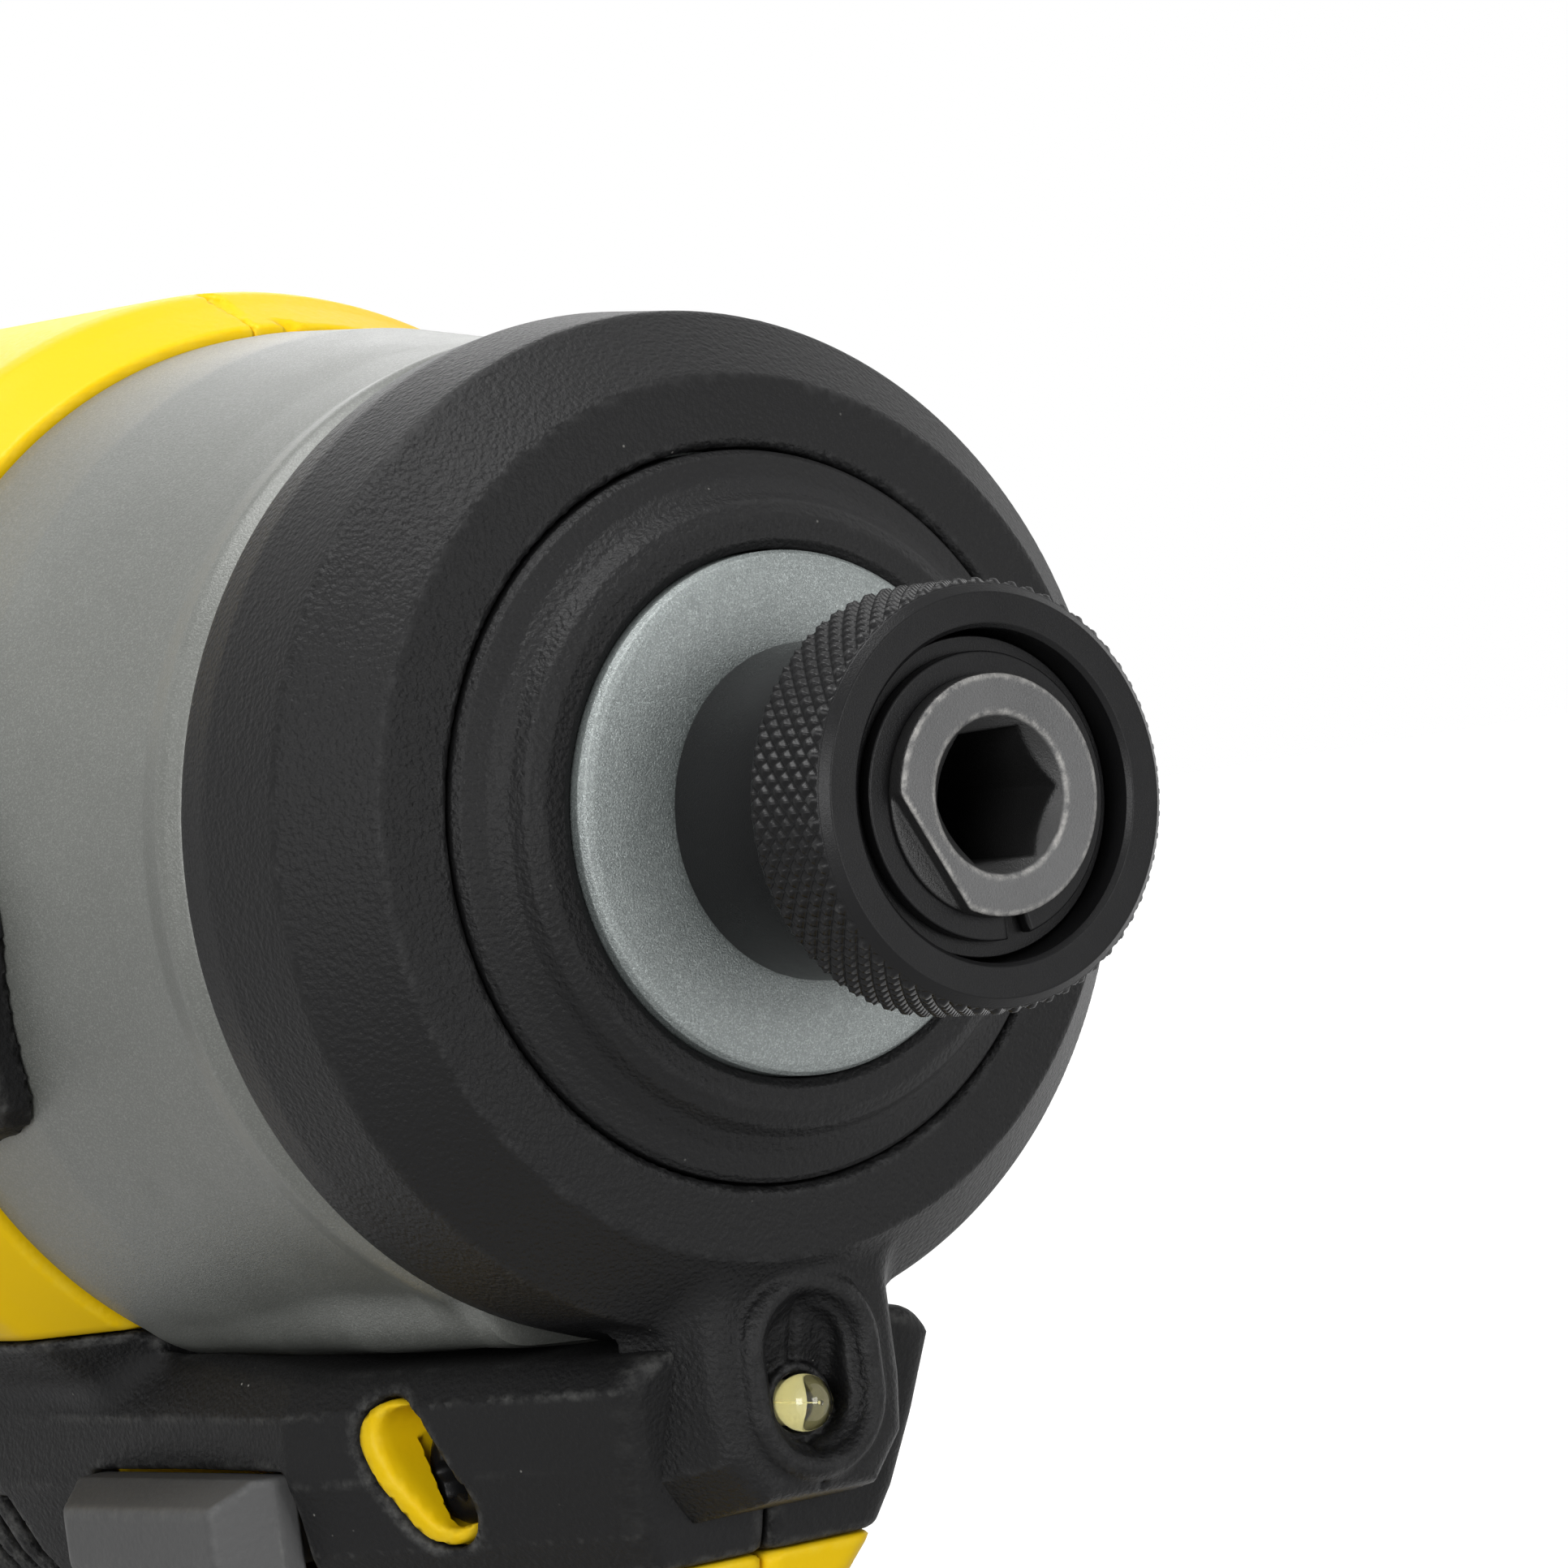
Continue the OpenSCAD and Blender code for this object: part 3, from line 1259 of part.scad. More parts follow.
// Flat bend between two angles, as wall ring
module bend(r, t, from, to) {
    steps = 10;
    polygon(concat([for (i = [0 : steps]) let (a = from + (to - from) * i / steps) (r + t) * [cos(a),
        sin(a)]],
        [for (i = [steps : -1 : 0]) let (a = from + (to - from) * i / steps) r * [cos(a), sin(a)]]));
}

module belt_hook() {
    t = 1.6;
    half_l = 8;
    reach = 13;
    arm = 34;
    r = 4;
    tab = 5;
    y0 = -foot_half_w - 0.1 - t;
    color(steel) at_spindle() difference() {
        translate([0, 0, hook_z]) along(hook_x - half_l, hook_x + half_l) {
            translate([y0, -tab]) square([t, 2 * tab]);
            translate([y0 - r, tab]) bend(r, t, 0, 90);
            translate([y0 - r - reach, tab + r]) square([reach, t]);
            translate([y0 - r - reach, tab + 2 * r + t]) bend(r, t, 180, 270);
            translate([y0 - 2 * r - reach - t, tab + 2 * r + t]) square([t, arm]);
            translate([y0 - r - reach, tab + 2 * r + t + arm]) bend(r, t, 120, 180);
        }
        translate([hook_x, 0, hook_z]) rotate([90, 0, 0]) cylinder(r = 2.2, h = 60, $fn = 32);
    }
}

module hook_screw() {
    color(dark_steel) at_spindle() translate([hook_x, -foot_half_w - 1.8, hook_z]) from_right()
        screw(3.9, nut_bore_r - fit, nut_len + 0.8, 2.6);
}

module accessory_nut() {
    color(brass) at_spindle() for (side = [-1, 1]) translate([hook_x, 0, hook_z]) rotate([-90 * side, 0, 0])
        translate([0, 0, foot_half_w - nut_len]) difference() {
            cylinder(r = nut_r - seat, h = nut_len, $fn = 48);
            translate([0, 0, -1]) cylinder(r = nut_bore_r, h = nut_len + 2, $fn = 48);
        }
}

collet_sleeve();
sleeve_spring();
sleeve_washer();
retaining_ring();
anvil();
detent_ball_upper();
detent_ball_lower();
anvil_bushing();
thrust_washer();
hammer_case();
nose_ring();
nose_boot();
work_lamp();
lamp_leads();
hammer();
hammer_spring();
cam_balls();
planet_carrier();
planet_pins();
planet_gear_1();
planet_gear_2();
planet_gear_3();
ring_gear();
gearbox_plate();
carrier_bearing();
front_motor_bearing();
rear_motor_bearing();
rotor_shaft();
rotor_magnets();
fan();
stator();
stator_coils();
sensor_board();
housing_left();
housing_right();
overmold_left();
overmold_right();
trigger();
trigger_spring();
switch_body();
direction_button();
control_board();
terminal_block();
battery_lower_case();
battery_upper_case();
battery_cells();
battery_contacts();
latch_button();
latch_spring();
gauge_button();
housing_screws();
battery_screws();
belt_hook();
hook_screw();
accessory_nut();
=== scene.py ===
import json
import math

import bpy
import numpy as np
from mathutils import Matrix, Vector


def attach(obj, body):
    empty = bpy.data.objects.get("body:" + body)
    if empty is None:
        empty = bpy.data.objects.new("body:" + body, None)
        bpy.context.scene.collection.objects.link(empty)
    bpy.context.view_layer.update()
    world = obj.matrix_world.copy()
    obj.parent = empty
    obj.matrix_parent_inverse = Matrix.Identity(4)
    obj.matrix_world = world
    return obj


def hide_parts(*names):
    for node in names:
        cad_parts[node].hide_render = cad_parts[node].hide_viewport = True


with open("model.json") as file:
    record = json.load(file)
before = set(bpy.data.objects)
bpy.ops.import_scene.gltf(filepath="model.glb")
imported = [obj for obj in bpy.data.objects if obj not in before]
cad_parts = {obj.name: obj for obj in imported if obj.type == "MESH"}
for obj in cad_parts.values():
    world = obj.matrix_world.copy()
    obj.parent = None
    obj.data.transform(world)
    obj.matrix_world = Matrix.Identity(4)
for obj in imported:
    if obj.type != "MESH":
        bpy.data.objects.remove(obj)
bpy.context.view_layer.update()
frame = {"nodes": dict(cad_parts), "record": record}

# Shapes below are in millimetres in the spindle's frame: x is 0 at the sleeve's front face, z is 0 on the spindle
NOSE_X, AXIS_H = 88.0, 178.0
PACK_TOP, PACK_GAP = 31.7, 0.3
FOOT_Z = -AXIS_H + PACK_TOP + PACK_GAP
FOOT_TOP = FOOT_Z + 17
HOUSING_FRONT, BARREL_REAR, BARREL_R, CASE_R = 61.6, 138.0, 31.5, 28.6
GRIP_T = 1.5
CHIN_BOTTOM, KEEL_BOTTOM = -38.2, -41.4
LAMP_Z = -30.4
SPIN_SEGMENTS = 256


def place(points):
    """Millimetres in the spindle's frame to metres in the part's frame."""
    return (np.asarray(points, float) + (NOSE_X, 0, AXIS_H)) / 1000


# ---------------------------------------------------------------- camera, light, stage

VIEW_AT = (0.446688, -0.268293, 0.193110)
VIEW_BACK, VIEW_RIGHT = (0.81399, -0.58013, 0.02944), (0.57842, 0.80485, -0.13284)
SENSOR, LENS = 36, 208.368
# Each lamp: where it hangs, what it points at, its side and its power
LAMPS = {
    "key": ((0.08, -0.22, 1.15), (0.03, 0, 0.17), 0.5, 9),
    "left": ((0.70, -0.90, 0.38), (0.03, 0, 0.17), 0.5, 7),
    "front": ((1.02, 0.19, 0.24), (0.05, 0, 0.17), 0.4, 3.5),
    "rim": ((-0.85, 0.48, 0.62), (0.03, 0, 0.17), 0.5, 1.3),
}


def look_camera():
    data = bpy.data.cameras.new("view")
    data.sensor_width = SENSOR
    data.lens = LENS
    data.clip_start, data.clip_end = 0.02, 60
    cam = bpy.data.objects.new("view", data)
    back, right = Vector(VIEW_BACK), Vector(VIEW_RIGHT)
    up = back.cross(right)
    right = up.cross(back)
    turn = Matrix((right.normalized(), up.normalized(), back.normalized())).transposed()
    cam.matrix_world = Matrix.Translation(VIEW_AT) @ turn.to_4x4()
    bpy.context.scene.collection.objects.link(cam)
    bpy.context.scene.camera = cam


def area_light(name, place_at, target, size, power):
    data = bpy.data.lights.new(name, "AREA")
    data.shape = "SQUARE"
    data.size = size
    data.energy = power
    light = bpy.data.objects.new(name, data)
    light.location = place_at
    light.rotation_mode = "QUATERNION"
    light.rotation_quaternion = (Vector(target) - Vector(place_at)).to_track_quat("-Z", "Y")
    bpy.context.scene.collection.objects.link(light)


class Nodes:
    """Short names for building the node tree of a material or the world."""

    def __init__(self, owner, out="ShaderNodeOutputMaterial"):
        self.owner = owner
        owner.use_nodes = True
        self.tree = owner.node_tree
        self.tree.nodes.clear()
        self.out = self.add(out)

    def add(self, kind, **settings):
        node = self.tree.nodes.new(kind)
        for key, value in settings.items():
            if key in node.inputs:
                node.inputs[key].default_value = value
            else:
                setattr(node, key, value)
        return node

    def link(self, a, b):
        self.tree.links.new(a, b)

    def coords(self):
        return self.add("ShaderNodeTexCoord").outputs["Object"]

    def noise(self, where, scale, detail=2.0, rough=0.5):
        node = self.add("ShaderNodeTexNoise", Scale=scale, Detail=detail, Roughness=rough)
        self.link(where, node.inputs["Vector"])
        return node.outputs["Fac"]

    def cells(self, where, scale, feature="F1", out="Distance"):
        node = self.add("ShaderNodeTexVoronoi", feature=feature)
        node.inputs["Scale"].default_value = scale
        self.link(where, node.inputs["Vector"])
        return node.outputs[out]

    def ramp(self, value, low, high, out_low=0.0, out_high=1.0):
        node = self.add("ShaderNodeMapRange", clamp=True)
        self.link(value, node.inputs["Value"])
        for key, number in (("From Min", low), ("From Max", high), ("To Min", out_low), ("To Max", out_high)):
            node.inputs[key].default_value = number
        return node.outputs["Result"]

    def math(self, kind, a, b):
        node = self.add("ShaderNodeMath", operation=kind)
        for slot, value in enumerate((a, b)):
            if isinstance(value, (int, float)):
                node.inputs[slot].default_value = value
            else:
                self.link(value, node.inputs[slot])
        return node.outputs[0]

    def mix(self, share, a, b):
        node = self.add("ShaderNodeMix", data_type="RGBA")
        self.link(share, node.inputs["Factor"])
        for slot, value in (("A", a), ("B", b)):
            place_in = [i for i in node.inputs if i.name == slot and i.type == "RGBA"][0]
            if isinstance(value, tuple):
                place_in.default_value = (*value, 1)
            else:
                self.link(value, place_in)
        return [o for o in node.outputs if o.type == "RGBA"][0]

    def bump(self, height, strength, distance):
        node = self.add("ShaderNodeBump", Strength=strength, Distance=distance)
        self.link(height, node.inputs["Height"])
        return node.outputs["Normal"]

    def seen(self):
        """1 where the backdrop itself is seen: by the camera, in a reflection or through the lamp."""
        path = self.add("ShaderNodeLightPath")
        seen = path.outputs["Is Camera Ray"]
        for kind in ("Is Glossy Ray", "Is Transmission Ray"):
            seen = self.math("MAXIMUM", seen, path.outputs[kind])
        return seen

    def wear(self, low, high, scale, top=1.0):
        """Edge wear, which on the black grip and boot is also a painted edge highlight, and the broken noise that
        eats into it.
        """
        edge = self.add("ShaderNodeAttribute", attribute_name="edge").outputs["Fac"]
        return edge, self.ramp(self.noise(self.coords(), scale, 4, 0.7), low, high, 0, top)


def srgb(r, g, b):
    return tuple(c / 12.92 if c <= 0.04045 else ((c + 0.055) / 1.055) ** 2.4 for c in (r, g, b))


def finish_material(n, shader):
    n.link(shader.outputs[0], n.out.inputs["Surface"])
    return n.owner


DUST = (0.55, 0.54, 0.5)
# Object X, in metres, between which the anvil's rubbed front face gives way to sound steel
FACE_WORN, FACE_SOUND = 0.08832, 0.08842


def plastic(name, colour, dark, rough, grain=0.35, grain_size=0.34, dust=0.0, wear=None, wear_share=0.5, **extra):
    """Moulded plastic or rubber: fine spark-eroded grain, mottled gloss, worn edges (on the black grip and boot
    also a painted edge highlight) and specks of dust.
    """
    n = Nodes(bpy.data.materials.new(name))
    at = n.coords()
    shader = n.add("ShaderNodeBsdfPrincipled", **extra)
    cloud = n.noise(at, 45, 3)
    base = n.mix(n.ramp(cloud, 0.3, 0.7), dark, colour)
    # Lighter convex edges: real wear, and on the black grip and the boot also a painted highlight along ridges and
    # creases
    if wear:
        edge, broken = n.wear(0.42, 0.72, 900)
        worn = n.math("MULTIPLY", n.math("MULTIPLY", edge, broken), wear_share)
        base = n.mix(worn, base, wear)
    if dust:
        speck = n.ramp(n.cells(at, 900), 0.075, 0.04)
        rare = n.ramp(n.noise(at, 210, 2), 0.60, 0.66)
        far = n.ramp(n.noise(at, 37, 1), 0.45, 0.6)
        dusty = n.math("MULTIPLY", n.math("MULTIPLY", n.math("MULTIPLY", speck, rare), far), dust)
        base = n.mix(dusty, base, DUST)
    n.link(base, shader.inputs["Base Color"])
    fine = n.noise(at, 1000 / grain_size, 3, 0.6)
    n.link(n.ramp(n.math("ADD", n.math("MULTIPLY", fine, 0.5), n.math("MULTIPLY", cloud, 0.5)), 0.35, 0.65,
                  rough - 0.07, rough + 0.07), shader.inputs["Roughness"])
    pits = n.cells(at, 1000 / grain_size * 0.7, "SMOOTH_F1")
    height = n.math("ADD", n.math("MULTIPLY", fine, 0.6), n.math("MULTIPLY", pits, 0.5))
    n.link(n.bump(height, grain, 0.00012), shader.inputs["Normal"])
    return finish_material(n, shader)


def metal(name, colour, dark, rough, grain=0.15, grain_size=0.2, stretch=(1, 1, 1), wear=None, wear_share=1.0,
          metallic=1.0, flecks_and_glints=0.0, face=None, **extra):
    """Machined, oxidised or painted metal: cloudy tone, fine grain or turning marks, worn edges, metal flakes with
    painted glints.
    """
    n = Nodes(bpy.data.materials.new(name))
    at = n.coords()
    shader = n.add("ShaderNodeBsdfPrincipled", Metallic=metallic, **extra)
    spread = n.add("ShaderNodeVectorMath", operation="MULTIPLY")
    spread.inputs[1].default_value = stretch
    n.link(at, spread.inputs[0])
    marks = n.noise(spread.outputs[0], 1000 / grain_size, 3, 0.65)
    cloud = n.noise(at, 120, 4, 0.6)
    base = n.mix(n.ramp(cloud, 0.3, 0.7), dark, colour)
    # Metal flakes in the paint: the lighter specks are painted glints, the darker ones vary the tone
    if flecks_and_glints:
        flake = n.cells(at, 14000, "F1", "Color")
        split = n.add("ShaderNodeSeparateColor")
        n.link(flake, split.inputs[0])
        bright = n.ramp(split.outputs[0], 0.55, 1.0, 0, flecks_and_glints)
        base = n.mix(bright, base, tuple(min(1, c * 1.9 + 0.05) for c in colour))
        deep = n.ramp(split.outputs[1], 0.6, 1.0, 0, flecks_and_glints * 0.6)
        base = n.mix(deep, base, tuple(c * 0.5 for c in dark))
    if face:
        split = n.add("ShaderNodeSeparateXYZ")
        n.link(at, split.inputs[0])
        rubbed = n.math("ADD", split.outputs[0], n.math("MULTIPLY", n.noise(at, 1500, 3), 0.0001))
        base = n.mix(n.ramp(rubbed, FACE_WORN, FACE_SOUND), face, base)
    if wear:
        edge, broken = n.wear(0.35, 0.65, 1400, wear_share)
        share = n.math("MULTIPLY", edge, broken)
        if face:
            share = n.math("MULTIPLY", share, n.ramp(rubbed, FACE_WORN, FACE_SOUND))
        base = n.mix(share, base, wear)
    n.link(base, shader.inputs["Base Color"])
    n.link(n.ramp(n.math("ADD", n.math("MULTIPLY", marks, 0.5), n.math("MULTIPLY", cloud, 0.5)), 0.35, 0.65,
                  max(0.05, rough - 0.08), rough + 0.08), shader.inputs["Roughness"])
    n.link(n.bump(marks, grain, 0.00006), shader.inputs["Normal"])
    return finish_material(n, shader)


def clear_lamp():
    n = Nodes(bpy.data.materials.new("lamp_clear"))
    at = n.coords()
    shader = n.add("ShaderNodeBsdfPrincipled", IOR=1.5, Roughness=0.02)
    shader.inputs["Transmission Weight"].default_value = 1.0
    tint = n.mix(n.ramp(n.noise(at, 700, 2), 0.35, 0.65), (0.97, 0.94, 0.70), (0.99, 0.98, 0.88))
    n.link(tint, shader.inputs["Base Color"])
    n.link(n.bump(n.noise(at, 900, 2), 0.08, 0.0001), shader.inputs["Normal"])
    return finish_material(n, shader)


DULL = {"Specular IOR Level": 0.16}
MAT = {
    "yellow_housing": plastic("yellow_housing", srgb(0.95, 0.79, 0.05), srgb(0.94, 0.77, 0.04), 0.46, 0.16, 0.42,
                              wear=srgb(0.98, 0.92, 0.4), wear_share=0.2, **{"Specular IOR Level": 0.15}),
    # Grip: its lighter edge colour is partly scuffing and partly a painted highlight along the chin's ridge
    "soft_grip": plastic("soft_grip", srgb(0.095, 0.095, 0.097), srgb(0.075, 0.075, 0.077), 0.56, 0.8, 0.22,
                         dust=0.8, wear=srgb(0.46, 0.46, 0.45), wear_share=0.45, **DULL),
    # Boot: its lighter edge colour is partly wear and partly a painted sheen along its edges and creases
    "boot_rubber": plastic("boot_rubber", srgb(0.09, 0.09, 0.092), srgb(0.07, 0.07, 0.072), 0.44, 1.0, 0.2,
                           dust=0.4, wear=srgb(0.36, 0.36, 0.36), wear_share=0.25, **DULL),
    "nose_ring": plastic("nose_ring", srgb(0.105, 0.105, 0.107), srgb(0.085, 0.085, 0.087), 0.42, 1.0, 0.2,
                         dust=0.4, wear=srgb(0.34, 0.34, 0.34), wear_share=0.25, **DULL),
    "hard_black": plastic("hard_black", srgb(0.105, 0.105, 0.107), srgb(0.085, 0.085, 0.087), 0.42, 0.4, 0.3,
                          wear=srgb(0.38, 0.38, 0.38), wear_share=0.3, **DULL),
    "grey_plastic": plastic("grey_plastic", srgb(0.34, 0.34, 0.34), srgb(0.305, 0.305, 0.305), 0.5, 0.3, 0.3,
                            wear=srgb(0.48, 0.48, 0.47), wear_share=0.4, **DULL),
    "case_paint": metal("case_paint", srgb(0.43, 0.437, 0.42), srgb(0.395, 0.402, 0.385), 0.38, 0.5, 0.12,
                        metallic=0.12, flecks_and_glints=0.3, wear=srgb(0.74, 0.76, 0.74)),
    # Nose disc: the case's own paint, painted lighter and with more bright flakes to stand for the light falling on
    # it
    "disc_paint": metal("disc_paint", srgb(0.49, 0.515, 0.51), srgb(0.45, 0.475, 0.47), 0.30, 0.9, 0.1,
                        metallic=0.3, flecks_and_glints=0.6, wear=srgb(0.7, 0.72, 0.71), **{"Specular IOR Level": 1.0}),
    "black_oxide": metal("black_oxide", srgb(0.10, 0.10, 0.103), srgb(0.08, 0.08, 0.083), 0.32, 0.25, 0.1,
                         metallic=0.1, wear=srgb(0.36, 0.36, 0.36), **DULL),
    "bright_steel": metal("bright_steel", srgb(0.72, 0.72, 0.73), srgb(0.62, 0.62, 0.63), 0.3, 0.2, 0.2),
    "anvil_steel": metal("anvil_steel", srgb(0.36, 0.36, 0.36), srgb(0.30, 0.30, 0.30), 0.38, 0.8, 0.12,
                         metallic=0.2, face=srgb(0.13, 0.13, 0.13), wear=srgb(0.75, 0.74, 0.72), wear_share=0.5),
    "dark_steel": metal("dark_steel", srgb(0.43, 0.43, 0.43), srgb(0.35, 0.35, 0.35), 0.4, 0.5, 0.1,
                        metallic=0.6, wear=srgb(0.8, 0.79, 0.77)),
    "bronze": metal("bronze", srgb(0.72, 0.55, 0.34), srgb(0.62, 0.46, 0.27), 0.35),
    "copper_wire": metal("copper_wire", srgb(0.80, 0.47, 0.30), srgb(0.66, 0.36, 0.22), 0.3, 0.8, 0.5, (1, 6, 6)),
    "magnet": metal("magnet", srgb(0.35, 0.35, 0.36), srgb(0.26, 0.26, 0.27), 0.4),
    "board": plastic("board", srgb(0.10, 0.34, 0.20), srgb(0.07, 0.27, 0.15), 0.35, 0.3, 0.6),
    "cell_wrap": plastic("cell_wrap", srgb(0.25, 0.42, 0.62), srgb(0.2, 0.36, 0.55), 0.3, 0.1, 0.5),
    "lead_wire": plastic("lead_wire", srgb(0.15, 0.15, 0.15), srgb(0.1, 0.1, 0.1), 0.4, 0.2, 0.3),
    "contact_brass": metal("contact_brass", srgb(0.82, 0.68, 0.38), srgb(0.72, 0.58, 0.30), 0.3),
    "lamp_cup": plastic("lamp_cup", srgb(0.96, 0.93, 0.72), srgb(0.93, 0.90, 0.66), 0.4),
    "lamp_clear": clear_lamp(),
}


# ---------------------------------------------------------------- meshes from distance functions

def smin(a, b, k):
    h = np.clip(0.5 + 0.5 * (b - a) / k, 0, 1)
    return b + (a - b) * h - k * h * (1 - h)


def smax(a, b, k):
    return -smin(-a, -b, k)


def polygon(u, v, points):
    """Signed distance from (u, v) to a closed outline; a corner may itself be a pair of arrays."""
    best, sign = None, None
    for (ax, ay), (bx, by) in zip(points, points[-1:] + points[:-1]):
        ex, ey = bx - ax, by - ay
        wx, wy = u - ax, v - ay
        t = np.clip((wx * ex + wy * ey) / np.maximum(ex * ex + ey * ey, 1e-9), 0, 1)
        dx, dy = wx - ex * t, wy - ey * t
        d = dx * dx + dy * dy
        c1, c2, c3 = v >= ay, v < by, ex * wy > ey * wx
        flip = (c1 & c2 & c3) | ~(c1 | c2 | c3)
        best = d if best is None else np.minimum(best, d)
        sign = flip if sign is None else sign ^ flip
    return np.where(sign, -1, 1) * np.sqrt(best)


def stadium(u, v, a, b, r):
    ex, ey = b[0] - a[0], b[1] - a[1]
    t = np.clip(((u - a[0]) * ex + (v - a[1]) * ey) / (ex * ex + ey * ey), 0, 1)
    return np.hypot(u - a[0] - ex * t, v - a[1] - ey * t) - r


def box3(p, low, high, r=0.0):
    q = [np.maximum(lo - c, c - hi) + r for c, lo, hi in zip(p, low, high)]
    outside = np.sqrt(sum(np.maximum(c, 0) ** 2 for c in q))
    return outside + np.minimum(np.maximum(np.maximum(q[0], q[1]), q[2]), 0) - r


def slope(f, p, e):
    """Gradient of f at the points and its bend, positive on convex edges."""
    here = f(*p)
    grad, bend = [], np.zeros_like(here)
    for axis in range(3):
        step = [c.copy() for c in p]
        step[axis] += e
        more = f(*step)
        step[axis] -= 2 * e
        less = f(*step)
        grad.append((more - less) / (2 * e))
        bend += (more + less - 2 * here) / (e * e)
    return here, np.array(grad), bend


def ruler(low, high, h, fine=None, grow=2.5):
    """Grid lines from low to high in blocks of 8 cells, wider apart the farther they are from the fine stretch."""
    lines = [low - 1.37 * h]
    while lines[-1] < high + h or len(lines) % 8 != 1:
        far = max(fine[0] - lines[-1], lines[-1] - fine[1], 0) if fine else 0
        lines.append(lines[-1] + h * (1 + (grow - 1) * min(1, far / 40)))
    return np.array(lines)


def net(f, grids):
    """Closed quad mesh of the zero surface of f, by surface nets on a sparse grid of blocks."""
    block = 8
    size = [len(g) - 1 for g in grids]
    centre = [(g[4::block][:n // block]).astype(np.float32) for g, n in zip(grids, size)]
    reach = [(g[block::block] - g[:-1:block])[:n // block] / 2 for g, n in zip(grids, size)]
    coarse = f(*np.meshgrid(*centre, indexing="ij"))
    half = np.sqrt(sum(r ** 2 for r in np.meshgrid(*reach, indexing="ij")))
    grid = np.repeat(np.repeat(np.repeat(coarse, block, 0), block, 1), block, 2).astype(np.float32)
    near = np.argwhere(np.abs(coarse) < 1.3 * half)
    local = np.stack(np.meshgrid(*[np.arange(block)] * 3, indexing="ij"), -1).reshape(-1, 3)
    for part in np.array_split(near, max(1, len(near) * block ** 3 // 1500000)):
        index = (part[:, None, :] * block + local[None]).reshape(-1, 3)
        grid[tuple(index.T)] = f(*[g[i].astype(np.float32) for g, i in zip(grids, index.T)])
    inside = grid < 0
    n = np.array(grid.shape) - 1
    corners = [(i, j, k) for i in (0, 1) for j in (0, 1) for k in (0, 1)]
    total = sum(inside[i:i + n[0], j:j + n[1], k:k + n[2]].astype(np.int8) for i, j, k in corners)
    cells = np.argwhere((total > 0) & (total < 8))
    value = np.stack([grid[cells[:, 0] + i, cells[:, 1] + j, cells[:, 2] + k] for i, j, k in corners], 1)
    where, hits = np.zeros((len(cells), 3)), np.zeros(len(cells))
    for a in range(8):
        for axis in range(3):
            if corners[a][axis]:
                continue
            b = a + (4, 2, 1)[axis]
            cross = (value[:, a] < 0) != (value[:, b] < 0)
            t = np.where(cross, value[:, a] / np.where(cross, value[:, a] - value[:, b], 1), 0)
            for c in range(3):
                where[:, c] += np.where(cross, corners[a][c] + (t if c == axis else 0), 0)
            hits += cross
    place_in = cells + where / hits[:, None]
    points = np.stack([np.interp(place_in[:, i], np.arange(len(g)), g) for i, g in enumerate(grids)], 1)
    number = np.full(n, -1, np.int64)
    number[tuple(cells.T)] = np.arange(len(cells))
    quads = []
    for axis in range(3):
        b, c = (axis + 1) % 3, (axis + 2) % 3
        cut = [slice(1, n[i]) for i in range(3)]
        cut[axis] = slice(0, n[axis])
        one = inside[tuple(cut)]
        cut[axis] = slice(1, n[axis] + 1)
        two = inside[tuple(cut)]
        edge = np.argwhere(one != two)
        edge[:, [b, c]] += 1
        turned = inside[tuple(edge.T)]
        ring = []
        for db, dc in ((0, 0), (1, 0), (1, 1), (0, 1)):
            cell = edge.copy()
            cell[:, b] -= db
            cell[:, c] -= dc
            ring.append(number[tuple(cell.T)])
        ring = np.stack(ring, 1)
        quads.append(np.where(turned[:, None], ring, ring[:, ::-1]))
    return points, np.concatenate(quads)


def new_object(name, points, faces):
    mesh = bpy.data.meshes.new(name)
    mesh.from_pydata(points, [], faces)
    made = bpy.data.objects.new(name, mesh)
    bpy.context.scene.collection.objects.link(made)
    return made


def mark_wear(mesh, amount):
    """How worn each point of the mesh is, which the materials read as edge; on the black grip and boot it also
    places a painted edge highlight.
    """
    worn = mesh.attributes.new("edge", "FLOAT", "POINT")
    worn.data.foreach_set("value", np.asarray(amount, np.float32).ravel())


def solid(name, f, low, high, h, body, mat, nodes, fine=(None, None, None), grow=2.5):
    """Piece whose skin is the zero surface of f, set exactly on it, with its normals and edge wear from f; on the
    grip and boot that edge colour is partly a painted highlight.
    """
    h = h * 1
    points, quads = net(f, [ruler(low[i], high[i], h, fine[i], grow) for i in range(3)])
    for _ in range(3):
        p = [points[:, i].astype(np.float32) for i in range(3)]
        here, grad, _ = slope(f, p, 0.04)
        size = np.maximum((grad ** 2).sum(0), 0.2)
        move = (here / size * grad).T
        points = points - np.clip(move, -0.7 * h, 0.7 * h)
    piece = new_object(name, place(points).tolist(), quads.tolist())
    p = [points[:, i].astype(np.float32) for i in range(3)]
    _, grad, bend = slope(f, p, 0.18)
    normal = (grad / np.maximum(np.sqrt((grad ** 2).sum(0)), 1e-6)).T
    mark_wear(piece.data, np.clip((bend - 0.35) / 1.6, 0, 1))
    return dress(piece, body, mat, nodes, normal)


def dress(piece, body, mat, nodes, normal=None):
    """Smooth shading, material, body, replaced nodes and material slot of a new piece."""
    mesh = piece.data
    mesh.shade_smooth()
    mesh.update()
    if normal is not None:
        mesh.normals_split_custom_set_from_vertices(normal.tolist())
    mesh.materials.clear()
    mesh.materials.append(MAT[mat])
    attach(piece, body)
    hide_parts(*nodes)
    return piece


